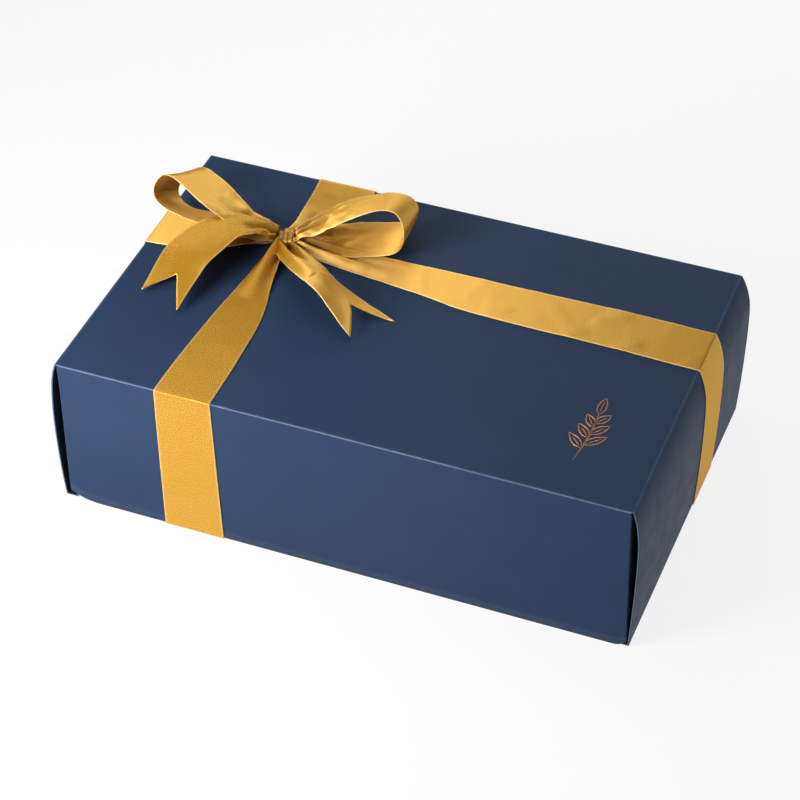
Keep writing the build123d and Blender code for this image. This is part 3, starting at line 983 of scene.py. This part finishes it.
def bowRows(piece):
    # Rows of points of one loop or tail, with its folds at the knot and a slight curl across,
    # how far along the ribbon each point lies, and how much painted shade it gets in a tight fold
    reach, knotX, knotY = piece["reach"], bow["knotX"], bow["knotY"]
    spots = [
        (knotX + x * reach, knotY + y * reach, lidTray["panelZ"] + z * bow["rise"], *rest)
        for x, y, z, *rest in piece["stations"]
    ]
    line = splineThrough(spots, 9)
    middles, widths = line[:, :3], line[:, 3] * ribbon["width"]
    headings, tilts = np.radians(line[:, 4]), np.radians(line[:, 5])
    level = np.cos(tilts)
    across = np.column_stack([np.cos(headings) * level, np.sin(headings) * level, np.sin(tilts)])
    tangents = np.gradient(middles, axis=0)
    tangents -= across * np.sum(across * tangents, axis=1)[:, None]
    normals = np.cross(across, tangents / np.linalg.norm(tangents, axis=1)[:, None])
    runs = np.concatenate([[0], np.cumsum(np.linalg.norm(np.diff(middles, axis=0), axis=1))])
    length, notch, folds, seed = runs[-1], piece.get("notch", 0.0), piece["folds"], piece["seed"]

    def at(table, place):
        return Vector([np.interp(place, runs, column) for column in table.T])

    rows, places, paintedFoldShades = [], [], []
    for run in runs:
        pull = notch * max(0.0, (run / length - 0.3) / 0.7)
        row, rowPlaces, rowFoldShades = [], [], []
        for share in acrossShares():
            place = run - pull * (1 - abs(share))
            lineAcross, normal = at(across, place), at(normals, place).normalized()
            width = float(np.interp(place, runs, widths))
            fromKnot = place if notch else min(place, length - place)
            gather = max(0.0, 1 - fromKnot / piece["foldLength"])
            spare = max(0.0, ribbon["width"] ** 2 - width**2) ** 0.5
            half = 0 if place < length / 2 else 1
            height = bow["foldHeight"][half] * spare / folds * (0.35 + 0.65 * gather)
            drift = bow["foldDrift"] * math.sin(place / 5 + seed)
            fold = math.cos(folds * math.pi * share + bow["foldLean"][half] + seed + drift * gather)
            wave = height * fold
            # painted shade in the folds near the knot, lighter in a loop's second half
            tight = 0.3 if half and not notch else 1.0
            rowFoldShades.append(min(0.85, tight * gather**1.6 * (0.05 + 0.8 * (1 - abs(fold)))))
            wave += piece["curl"] * (share**2 - 0.33) * (1 - gather)
            wave += crumple((place, share * 19, 0), 0.10 + piece["crush"] * gather**1.2, 5.5, seed)
            wave += crumple((place, share * 13, 0), 0.4 * piece["crush"] * gather**1.5, 2.4, seed + 5)
            point = at(middles, place) + lineAcross * (share * width / 2) + normal * wave
            floorZ = lidSurface(point.x, point.y) + ribbon["gap"] + ribbon["thickness"] / 2
            row.append((point.x, point.y, max(point.z, floorZ + 0.05)))
            rowPlaces.append(place)
        rows.append(row)
        places.append(rowPlaces)
        paintedFoldShades.append(rowFoldShades)
    return rows, places, paintedFoldShades


for name in ("bowLoopRight", "bowLoopLeft", "bowTailLeft", "bowTailRight"):
    piece = bow[name]
    rows, places, paintedFoldShades = bowRows(piece)
    bandPiece(name, piece["node"], rows, paintedFoldShades, places)
print("loops and tails shaped")


knotSet = {
    "place": (-66.0, 26.6, 81.0),
    "length": 7.2,           # along the bow
    "halfY": 5.0,
    "halfZ": 3.9,
    "turn": 20.0,            # degrees that the wrap leans from the Y direction
    "ridges": 2.6,
    "ridgeHeight": 0.42,
    "bend": 0.45,            # radius of the folds that tuck both edges under
    "edgeFall": 1.4,         # how far the wrap's sides sink towards the gathered middle
    "around": 60,
    "columns": 46,
    "flat": 29.0,
}


def knotProfile(share):
    # Place along the bow and depth below the wrap's face; both edges are folded under
    part, half, bend = abs(share), knotSet["length"] / 2, knotSet["bend"]
    if part < 0.42:
        along, depth = half * part / 0.42, 0.0
    elif part < 0.56:
        angle = (part - 0.42) / 0.14 * math.pi
        along, depth = half + bend * math.sin(angle), bend * (1 - math.cos(angle))
    else:
        under = (part - 0.56) / 0.44
        lower = 0.45 if share > 0 else 0.1
        along, depth = mix(half, -2.0, under), 2 * bend + lower * smoothStep(0, 0.5, under)
    depth += knotSet["edgeFall"] * (along / half) ** 2
    return (along if share > 0 else -along), depth


def makeKnot():
    # The band wrapped once round the gathered middle, ridged along the wrap
    rows, paintedFoldShades = [], []
    for step in range(knotSet["around"] + 1):
        angle = 2 * math.pi * step / knotSet["around"] - 0.5
        row, rowFoldShades = [], []
        for share in acrossShares(knotSet["columns"]):
            along, depth = knotProfile(share)
            phase = knotSet["ridges"] * 2 * math.pi * along / knotSet["length"]
            ridge = math.cos(phase + 0.9 * math.sin(angle))
            depth -= knotSet["ridgeHeight"] * ridge + 0.10 * math.copysign(1, share)
            # painted shade in the valleys between the knot's ridges
            rowFoldShades.append(0.30 + 0.45 * (0.5 - 0.5 * ridge))
            along = along * (1 + 0.14 * math.cos(angle + 0.8)) + 0.5 * math.sin(angle)
            y = (knotSet["halfY"] - depth) * math.cos(angle)
            z = (knotSet["halfZ"] - depth) * math.sin(angle)
            lift = 1 + crumple((along, y, z), 0.05, 3.0, 5.0)
            spot = Vector((along, y * lift, z * lift))
            spot.rotate(Matrix.Rotation(math.radians(knotSet["turn"]), 3, "Z"))
            row.append(tuple(Vector(knotSet["place"]) + spot))
        rows.append(row)
        paintedFoldShades.append(rowFoldShades)
    bandPiece("ribbonKnot", "ribbon_knot", rows, paintedFoldShades)


makeKnot()
print("knot tied")


# Foil sprig where the lid carries its print

sprig = {
    "place": (93.5, -57.0),  # foot of the stem on the lid
    "height": 40.0,
    "line": 0.55,
    "foil": 0.035,
    "leafLength": 10.5,
    "leafWidth": 3.6,
    "leafPairs": 3,
    "lean": 46.0,            # degrees between a leaf and the stem
    "stemBend": 1.6,
    "colour": (0.62, 0.235, 0.060),
}


def inkedLine(path, width, points, faces):
    # Adds a flat line of foil along a path of (x, y); its ends run out to points
    start, last = len(points), len(path) - 1
    for number, spot in enumerate(path):
        run = path[min(number + 1, last)] - path[max(number - 1, 0)]
        side = Vector((-run.y, run.x)).normalized() * width / 2
        side *= min(1.0, 0.3 + 2.5 * min(number, last - number) / len(path))
        for x, y in (spot - side, spot + side):
            points.append((x, y, lidSurface(x, y) + sprig["foil"]))
    faces.extend(gridFaces(len(path), 2, start))


def leafLines(root, angle, length, points, faces):
    # A leaf's outline and its midrib
    along = Vector(onCircle(1, angle))
    across = Vector((-along.y, along.x))
    steps = 14
    for side in (-1, 1):
        outline = []
        for step in range(steps + 1):
            belly = math.sin(math.pi * (step / steps) ** 0.85) * sprig["leafWidth"] / 2 * side
            outline.append(root + along * (length * step / steps) + across * belly)
        inkedLine(outline, sprig["line"], points, faces)
    midrib = [root + along * (length * (0.12 + 0.6 * step / 6)) for step in range(7)]
    inkedLine(midrib, sprig["line"] * 0.7, points, faces)


def makeSprig():
    points, faces = [], []
    foot = Vector(sprig["place"])

    def onStem(share):
        return foot + Vector((sprig["stemBend"] * math.sin(2.4 * share), sprig["height"] * 0.72 * share))

    inkedLine([onStem(step / 24) for step in range(25)], sprig["line"] * 1.15, points, faces)
    for pair in range(sprig["leafPairs"]):
        share = 0.26 + 0.70 * pair / sprig["leafPairs"]
        length = sprig["leafLength"] * (1 - 0.11 * pair)
        for side in (-1, 1):
            angle = math.radians(90 - side * (sprig["lean"] - 5 * pair))
            leafLines(onStem(share + 0.04 * (side + 1)), angle, length, points, faces)
    leafLines(onStem(1.0), math.radians(90), sprig["leafLength"], points, faces)
    # Hot-pressed foil, brighter and glossier in flecks
    flecks, foil = (900, 3, 0.6), sprig["colour"]
    finish = grainyFinish(
        "copperFoil",
        foil,
        0.32,
        tones=(flecks, 0.35, 0.65, lighter(foil, 0.62), foil),
        gloss=(flecks, 0.42, 0.24),
        bumps=[(flecks, 0.3, 0.02)],
        Metallic=0.85,
        Specular_IOR_Level=0.5,
    )
    piece = makePiece("foilSprig", None, "lid", points, faces, [finish])
    settleFaces(piece, (*sprig["place"], lidTray["panelZ"]))
    addThickness(piece, 0.03, -1)


makeSprig()
print("foil sprig printed")


# Inside: two formed trays with paper cups and four kinds of chocolate, and the pads over them

wells = {
    "columns": 6,
    "rows": 4,
    "margin": 2.0,
    "mouth": 16.2,
    "floor": 13.9,
    "film": 0.5,
    "sheet": 0.35,
    "lip": 1.0,
    "flutes": 12,
    "fluteDepth": 0.4,
    "corner": 4.0,
    "shoulder": 1.0,
    "skirt": 8.0,
    "perSide": 20,
}
traySize = (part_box("upper_insert")[1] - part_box("upper_insert")[0]) / mm
wellDepth = traySize.z - wells["film"]
wellSlope = (wells["mouth"] - wells["floor"]) / wellDepth
pitchX = (traySize.x - 2 * wells["margin"]) / wells["columns"]
pitchY = (traySize.y - 2 * wells["margin"]) / wells["rows"]


def wellCentres(kind=None):
    # Middles of all wells, or of those that hold one kind of sweet
    return [
        Vector(((column - (wells["columns"] - 1) / 2) * pitchX, (row - (wells["rows"] - 1) / 2) * pitchY, 0))
        for column in range(wells["columns"])
        for row in range(wells["rows"])
        if kind is None or (column + row) % 4 == kind
    ]


def onOutline(x, y, outset):
    # A point of the tray's rounded outline near (x, y), moved out by outset
    centre, away = roundOutline(x, y, traySize.xy / 2, wells["corner"])
    return centre + away.normalized() * (wells["corner"] + outset)


def wellRings(top, bottom):
    # (radius, height, share of the flutes) of the rings down one well
    mouth, floor = wells["mouth"], wells["floor"]
    rings = [(mouth + wells["lip"], top, 0), (mouth + 0.4, top - 0.12, 0), (mouth + 0.08, top - 0.5, 0.1)]
    rings += [(floor + wellSlope * height, bottom + height, 1.0) for height in (25.5, 22, 17, 12, 7, 3, 1.6)]
    rings += [(floor - 0.3, bottom + 0.6, 0.6), (floor - 1.0, bottom + 0.1, 0.2), (floor - 2.0, bottom, 0)]
    return rings + [(8.0, bottom, 0), (7.4, bottom - 0.12, 0), (0.6, bottom - 0.12, 0)]


def makeInsert(name, node, body, finish):
    low, high = (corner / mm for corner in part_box(node))
    top, bottom, side = high.z, low.z + wells["film"], wells["perSide"]
    limit = Vector((traySize.x / 2 - wells["shoulder"], traySize.y / 2 - wells["shoulder"]))
    pitch = Vector((pitchX, pitchY))
    rings = wellRings(top, bottom)
    points, faces, outer = [], [], []
    for centre in wellCentres():
        ends = []
        for axis in (0, 1):
            pair = [centre[axis] - pitch[axis] / 2, centre[axis] + pitch[axis] / 2]
            reach = limit[axis] - wells["margin"]
            ends.append([math.copysign(limit[axis], end) if abs(end) > reach else end for end in pair])
        (left, right), (front, back) = ends
        corners = [(left, front), (right, front), (right, back), (left, back), (left, front)]
        border = [
            (mix(a[0], b[0], step / side), mix(a[1], b[1], step / side))
            for a, b in zip(corners, corners[1:])
            for step in range(side)
        ]
        start = len(points)
        for number, (x, y) in enumerate(border):
            if abs(abs(x) - limit.x) < 0.01 or abs(abs(y) - limit.y) < 0.01:
                outer.append(start + number)
                x, y = onOutline(x, y, -wells["shoulder"])
            points.append((x, y, top))
        angles = [math.atan2(y - centre.y, x - centre.x) for x, y in border]
        for radius, height, fluted in rings:
            for angle in angles:
                flute = fluted * wells["fluteDepth"] * (0.5 + 0.5 * math.cos(wells["flutes"] * angle))
                x, y = onCircle(radius + flute, angle)
                points.append((centre.x + x, centre.y + y, height))
        faces += gridFaces(len(rings) + 1, len(border), start, True)
        faces.append(tuple(range(len(points) - len(border), len(points))))
    # The skirt round the tray: how far inside the outline and below the top each of its rings lies
    rim = sorted(set(outer), key=lambda number: math.atan2(points[number][1], points[number][0]))
    spots = [points[number] for number in rim]
    start, shoulder, skirt = len(points), wells["shoulder"], wells["skirt"]
    drops = [(shoulder, 0), (0.3, 0.3), (0, shoulder), (0, 3), (0, skirt - 0.8), (0.1, skirt)]
    for inset, drop in drops:
        points += [(*onOutline(x, y, -inset), top - drop) for x, y, _ in spots]
    faces += gridFaces(len(drops), len(spots), start, True)
    piece = makePiece(name, node, body, points, faces, [finish])
    settleFaces(piece, (pitch.x, pitch.y, top), weld=True)
    addThickness(piece, wells["sheet"], -1)


def repeatRound(points, faces, centres, floor, seed):
    # Copies a piece to every centre on the floor's height, each turned round Z by its own angle
    chance = random.Random(seed)
    allPoints, allFaces = [], []
    for centre in centres:
        turn = Matrix.Rotation(chance.uniform(0, 2 * math.pi), 3, "Z")
        start = len(allPoints)
        for point in points:
            x, y, z = turn @ Vector(point) + centre
            allPoints.append((x, y, z + floor))
        allFaces += [tuple(number + start for number in face) for face in faces]
    return allPoints, allFaces


cup = {"clearance": 0.3, "height": 17.0, "pleats": 34, "paper": 0.12}


def cupShape():
    # Pleated paper cup: a flat middle, pleats that start at the fold and open towards the rim
    foot = wells["floor"] - cup["clearance"]
    rings = [(0.5, 0.1, 0), (6.0, 0.1, 0), (10.5, 0.1, 0.03)]
    rings += [(foot - 1.0, 0.15, 0.12), (foot - 0.25, 0.6, 0.25)]
    for z in (2.0, 5.0, 8.5, 12.0, 14.5, 17.0):
        rings.append((foot + wellSlope * z, z, 0.30 + 0.5 * z / cup["height"]))
    around = cup["pleats"] * 4
    points = []
    for radius, height, pleat in rings:
        for step in range(around):
            angle = 2 * math.pi * step / around
            wave = (0, 1, 0, -1)[step % 4]
            rim = 0.25 * math.sin(3 * angle) + 0.12 * wave if height == cup["height"] else 0.0
            points.append((*onCircle(radius + pleat * (wave - 1) * 0.62, angle), height + rim))
    faces = gridFaces(len(rings), around, 0, True)
    faces.append(tuple(range(around)))
    return points, faces


sweets = {
    "radius": 13.0,
    "truffleRadius": 13.3,
    "truffleFoot": 0.476,
    "domeRise": 12.7,
    "barrelEase": 2.0,
    "barrelGroove": 0.8,
    "grooveDrop": 7.0,
    "petals": 12,
    "swirlShares": (0.90, 0.72, 0.50, 0.26),
    "swirlBulge": 0.8,
    "swirlRidges": 7,
    "swirlTwist": 5.2,
    "swirlTip": 2.0,
}


def turned(profile, around, alter=None):
    # Body of revolution from (radius, height) pairs, foot to top; alter bends each point
    points = []
    for radius, height in profile:
        for step in range(around):
            angle = 2 * math.pi * step / around
            r, z = alter(radius, height, angle) if alter else (radius, height)
            points.append((*onCircle(r, angle), z))
    faces = gridFaces(len(profile), around, 0, True)
    faces += [tuple(reversed(range(around))), tuple(range(len(points) - around, len(points)))]
    return points, faces


def sweetFoot(radius):
    # Profile of a moulded sweet's foot, with a small rounded edge
    return [(0.4, 0.0), (radius - 0.7, 0.0), (radius - 0.15, 0.25), (radius, 0.9)]


def truffleShape(height):
    radius = sweets["truffleRadius"]
    low = math.pi - math.asin(sweets["truffleFoot"])
    arc = [low * (1 - step / 26) + 0.03 for step in range(27)]
    profile = [(0.4, 0.0), (radius * sweets["truffleFoot"] * 0.8, 0.0)]
    profile += [(radius * math.sin(angle), height - radius + radius * math.cos(angle)) for angle in arc[1:]]

    def lumpy(r, z, angle):
        spot = (*onCircle(r, angle), z)
        lump = crumple(spot, 0.28, 5.0, 8.0) + crumple(spot, 0.12, 1.8, 9.0) - 0.25
        return max(0.1, r + lump * r / radius), max(0.0, z + lump * 0.5 * smoothStep(0.0, 4.0, z))

    return turned(profile, 56, lumpy)


def domeShape(height):
    radius, rise = sweets["radius"], sweets["domeRise"]
    bend = (radius**2 + rise**2) / (2 * rise)
    edge = math.asin(radius / bend)
    profile = sweetFoot(radius) + [(radius, z) for z in (4.0, 8.0, height - rise)]
    arc = [edge * (1 - step / 20) for step in range(1, 20)]
    profile += [(bend * math.sin(angle), height - bend + bend * math.cos(angle)) for angle in arc]
    points, faces = turned(profile, 60)
    firstLine = len(faces)
    drizzleLines(height, bend, points, faces)
    return points, faces, firstLine


drizzle = {"radius": 0.55, "reach": 10.8, "widest": 11.4, "swings": 5.5, "steps": 150, "sides": 7}


def drizzleLines(height, bend, points, faces):
    # Adds a thin poured line that zigzags over a dome whose radius is bend
    reach, steps, sides = drizzle["reach"], drizzle["steps"], drizzle["sides"]
    path = []
    for step in range(steps + 1):
        x = mix(-reach, reach, step / steps)
        wide = math.sqrt(max(0.0, drizzle["widest"] ** 2 - x**2))
        y = wide * math.sin(2 * math.pi * drizzle["swings"] * step / steps)
        path.append(Vector((x, y, height - bend + math.sqrt(bend**2 - x**2 - y**2) + 0.12)))
    start = len(points)
    for number, spot in enumerate(path):
        run = (path[min(number + 1, steps)] - path[max(number - 1, 0)]).normalized()
        side = run.cross(Vector((0, 0, 1))).normalized()
        lift = side.cross(run)
        taper = min(1.0, 0.25 + 0.3 * min(number, steps - number)) * drizzle["radius"]
        for corner in range(sides):
            angle = 2 * math.pi * corner / sides
            out, up = side * (taper * math.cos(angle)), lift * (taper * 0.7 * math.sin(angle))
            points.append(tuple(spot + out + up))
    faces += gridFaces(steps + 1, sides, start, True)


def barrelShape(height):
    radius, ease, groove = sweets["radius"], sweets["barrelEase"], sweets["barrelGroove"]
    middle = height - sweets["grooveDrop"]
    profile = sweetFoot(radius) + [(radius, z) for z in (5.0, 10.0, middle - groove)]
    profile += [(radius - groove, middle - 0.15), (radius - groove, middle + 0.15)]
    profile += [(radius, middle + groove), (radius, height - ease)]
    profile += [
        (radius - ease * (1 - math.cos(angle)), height - ease * (1 - math.sin(angle)))
        for angle in (0.4, 0.8, 1.2, math.pi / 2)
    ]
    profile += [(r, height) for r in (10.4, 10.0, 9.4, 8.4, 7.2, 6.0, 4.8, 3.8, 3.2, 2.6, 1.8, 0.3)]

    def embossed(r, z, angle):
        if z < height - 0.01:
            return r, z
        ring = 0.35 * (smoothStep(9.2, 9.8, r) - smoothStep(10.2, 10.6, r))
        along = min(1.0, max(0.0, (r - 3) / 6.2))
        petal = 0.55 * abs(math.sin(sweets["petals"] / 2 * angle)) * math.sin(math.pi * along)
        return r, z - 0.35 + ring - petal + 0.3 * (1 - smoothStep(1.8, 3.0, r)) * (r < 3)

    return turned(profile, 72, embossed)


def swirlShape(height):
    # Piped tiers: a ridged rope that twists as it rises and ends in a drawn-up point
    radii = [sweets["radius"] * share for share in sweets["swirlShares"]]
    tiers = len(radii) - 1
    rise = (height - sweets["swirlTip"]) / tiers
    profile = [(0.4, 0.0), (radii[0] - 0.6, 0.0)]
    for tier in range(tiers):
        swell = sweets["swirlBulge"] * (1 - tier / len(radii)) + 0.5
        for step in range(10):
            share = (step + 0.5) / 10
            r = mix(radii[tier], radii[tier + 1], share) + swell * (math.sin(math.pi * share) ** 0.7 - 0.55)
            profile.append((r, (tier + share) * rise))
    profile += [(radii[-1] * 0.75, tiers * rise + 0.2), (1.3, tiers * rise + 0.8)]
    profile += [(0.6, height - 0.4), (0.1, height)]

    def ridged(r, z, angle):
        wave = math.cos(sweets["swirlRidges"] * angle + sweets["swirlTwist"] * z / 4.2)
        depth = 0.75 * smoothStep(0.0, 3.0, r) * smoothStep(0.0, 1.5, z)
        return r + depth * (wave - 1) * 0.5, z

    return turned(profile, 84, ridged)


def chocolateFinish(name, colour, roughness, mottle, coat, bump):
    # Tempered chocolate: mould gloss, faint bloom and tiny ripples
    return grainyFinish(
        name,
        colour,
        roughness,
        tones=((160, 4, 0.6), 0.35, 0.7, colour, lighter(colour, mottle, 0.004)),
        gloss=((300, 3), roughness - 0.05, roughness + 0.1),
        bumps=[((240, 3), bump, 0.12), ((1800, 2), bump, 0.03)],
        Coat_Weight=coat,
        Coat_Roughness=0.18,
    )


def cocoaFinish():
    # Dusted truffle: loose powder over dark chocolate
    finish, shader = startMaterial("cocoaDust", (0.16, 0.072, 0.032), 0.95, Specular_IOR_Level=0.2)
    place = objectPlace(shader)
    powder = noiseValue(place, 1500, 5, 0.75)
    patches = spread(noiseValue(place, 170, 4, 0.65), 0.38, 0.62)
    dusty = blendColours(spread(powder, 0.35, 0.65), (0.13, 0.056, 0.024), (0.27, 0.135, 0.066))
    feed(shader, Base_Color=blendColours(patches, (0.105, 0.044, 0.018), dusty))
    addBumps(shader, (patches, 0.3, 0.25), (powder, 0.9, 0.16))
    return finish


def filmFinish():
    # Metallised tray film: forming ripples and a slightly milky gloss
    colour, haze = (0.52, 0.335, 0.125), (90, 3)
    return grainyFinish(
        "trayFilm",
        colour,
        0.30,
        tones=(haze, 0.3, 0.7, (0.44, 0.27, 0.09), colour),
        gloss=(haze, 0.36, 0.24),
        bumps=[(haze, 0.2, 0.2), ((1200, 2), 0.15, 0.03)],
        Metallic=0.78,
        Specular_IOR_Level=0.5,
    )


def paperFinish(name, colour, pale, roughness, crossed=0.0):
    # Thin paper; crossed is the strength of its embossed diamond pattern
    finish, shader = startMaterial(name, colour, roughness, Specular_IOR_Level=0.35)
    place = objectPlace(shader)
    fibres = spread(noiseValue(place, 700, 5, 0.7), 0.35, 0.65)
    feed(shader, Base_Color=blendColours(fibres, colour, pale))
    layers = [(fibres, 0.25, 0.05)]
    for turn in (45, -45) if crossed else ():
        lattice = addNode(shader, "ShaderNodeMapping", Vector=place, Rotation=(0, 0, math.radians(turn)))
        wave = addNode(
            shader, "ShaderNodeTexWave", Vector=lattice.outputs["Vector"], Scale=95.0, Distortion=0.4
        )
        layers.append((wave.outputs["Fac"], crossed, 0.25))
    addBumps(shader, *layers)
    return finish


trayFilm = filmFinish()
cupPaper = paperFinish("cupPaper", (0.085, 0.034, 0.014), (0.125, 0.055, 0.024), 0.55)
darkCoat = chocolateFinish("darkChocolate", (0.034, 0.0135, 0.0065), 0.24, 1.35, 0.25, 0.12)
milkCoat = chocolateFinish("milkChocolate", (0.165, 0.064, 0.024), 0.30, 1.18, 0.15, 0.12)
whiteCoat = chocolateFinish("whiteChocolate", (0.74, 0.56, 0.33), 0.38, 1.06, 0.05, 0.10)
# Each kind's shape, materials and slot, and how far its top lies below the tray's mouth
kinds = {
    "truffles": (truffleShape, [cocoaFinish()], "cocoa_chocolate", 2.5),
    "domes": (domeShape, [darkCoat, whiteCoat], "dark_chocolate", 3.0),
    "barrels": (barrelShape, [milkCoat], "milk_chocolate", 3.5),
    "swirls": (swirlShape, [whiteCoat], "white_chocolate", 1.5),
}


def makeLayer(layer, body):
    makeInsert(layer + "Insert", layer + "_insert", body, trayFilm)
    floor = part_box(layer + "_insert")[0].z / mm + wells["film"]
    points, faces = repeatRound(*cupShape(), wellCentres(), floor, 11)
    cups = makePiece(layer + "Cups", layer + "_cups", body, points, faces, [cupPaper])
    addThickness(cups, cup["paper"], -1)
    for kind, (name, (shape, materials, slot, drop)) in enumerate(kinds.items()):
        node = layer + "_" + name
        points, faces, *drizzled = shape(wellDepth - drop)
        count = len(faces)
        firstLine = drizzled[0] if drizzled else count
        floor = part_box(node)[0].z / mm
        points, faces = repeatRound(points, faces, wellCentres(kind), floor, kind + 20)
        piece = makePiece(layer + name.capitalize(), node, body, points, faces, materials)
        settleFaces(piece)
        for number, face in enumerate(piece.data.polygons):
            face.material_index = 1 if number % count >= firstLine else 0


makeLayer("lower", "base")
makeLayer("upper", "upper_layer")
print("trays, cups and chocolates made")


def quiltedPad(name, node, body, settings):
    # Closed pad: embossed diamonds on both faces and rounded, pinched edges
    low, high = (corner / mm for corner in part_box(node))
    half = (high - low) / 2
    middle = (high.z + low.z) / 2
    corner, edge, cell = settings["corner"], settings["edge"], settings["cell"]
    countX, countY = round(2 * half.x / settings["step"]), round(2 * half.y / settings["step"])
    tops, bottoms, border = [], [], []

    def placeAt(number, count, reach):
        # Places from -reach to reach, a little closer together at both ends
        share = 2 * number / count - 1
        return reach * math.sin(math.pi / 2 * share) * 0.25 + reach * share * 0.75

    for i in range(countX + 1):
        for j in range(countY + 1):
            x, y = placeAt(i, countX, half.x), placeAt(j, countY, half.y)
            centre, away = roundOutline(x, y, half.xy, corner)
            if away.length > corner:
                x, y = centre + away.normalized() * corner
            inside = min(1.0, (corner - min(away.length, corner)) / edge)
            swell = math.sqrt(max(0.0, 1 - (1 - inside) ** 2))
            seam = abs(math.sin(math.pi * (x + y) / cell) * math.sin(math.pi * (x - y) / cell)) ** 0.45
            puff = 1 - settings["dimple"] * (1 - seam) * swell
            tops.append((x, y, middle + half.z * swell * puff))
            bottoms.append((x, y, middle - half.z * swell * (1 - (1 - puff) * settings["underShare"])))
            border.append(i in (0, countX) or j in (0, countY))
    under = [number if onEdge else number + len(tops) for number, onEdge in enumerate(border)]
    grid = gridFaces(countX + 1, countY + 1)
    faces = grid + [tuple(under[number] for number in reversed(face)) for face in grid]
    piece = makePiece(name, node, body, tops + bottoms, faces, [settings["finish"]])
    settleFaces(piece, weld=True)


cushion = {
    "corner": 6.0,
    "edge": 5.0,
    "cell": 22.0,
    "dimple": 0.42,
    "underShare": 0.6,
    "step": 1.6,
    "fill": 0.6,
    "finish": paperFinish("cushionPaper", (0.74, 0.63, 0.45), (0.82, 0.72, 0.54), 0.55, 0.12),
}
interleaf = {
    "corner": 4.0,
    "edge": 1.6,
    "cell": 13.0,
    "dimple": 0.35,
    "underShare": 1.0,
    "step": 1.3,
    "fill": 0.3,
    "finish": paperFinish("interleafPaper", (0.70, 0.58, 0.40), (0.79, 0.68, 0.50), 0.6, 0.2),
}
quiltedPad("cushionPad", "cushion_pad", "pad", cushion)
quiltedPad("interleafPad", "interleaf_pad", "interleaf", interleaf)
print("pads quilted")


def tapeFinish():
    # Clear tape: cloudy glue and faint stretch lines
    stretchLines = (260, 3, 0.5, (1, 1, 12))
    return grainyFinish(
        "clearTape",
        (0.80, 0.79, 0.72),
        0.35,
        gloss=(stretchLines, 0.28, 0.5),
        bumps=[(stretchLines, 0.3, 0.05)],
        Alpha=0.45,
        Coat_Weight=0.4,
    )


tapes = bpy.data.objects["ribbon_tapes"]
tapes.data.materials.clear()
tapes.data.materials.append(tapeFinish())
print("tapes finished")
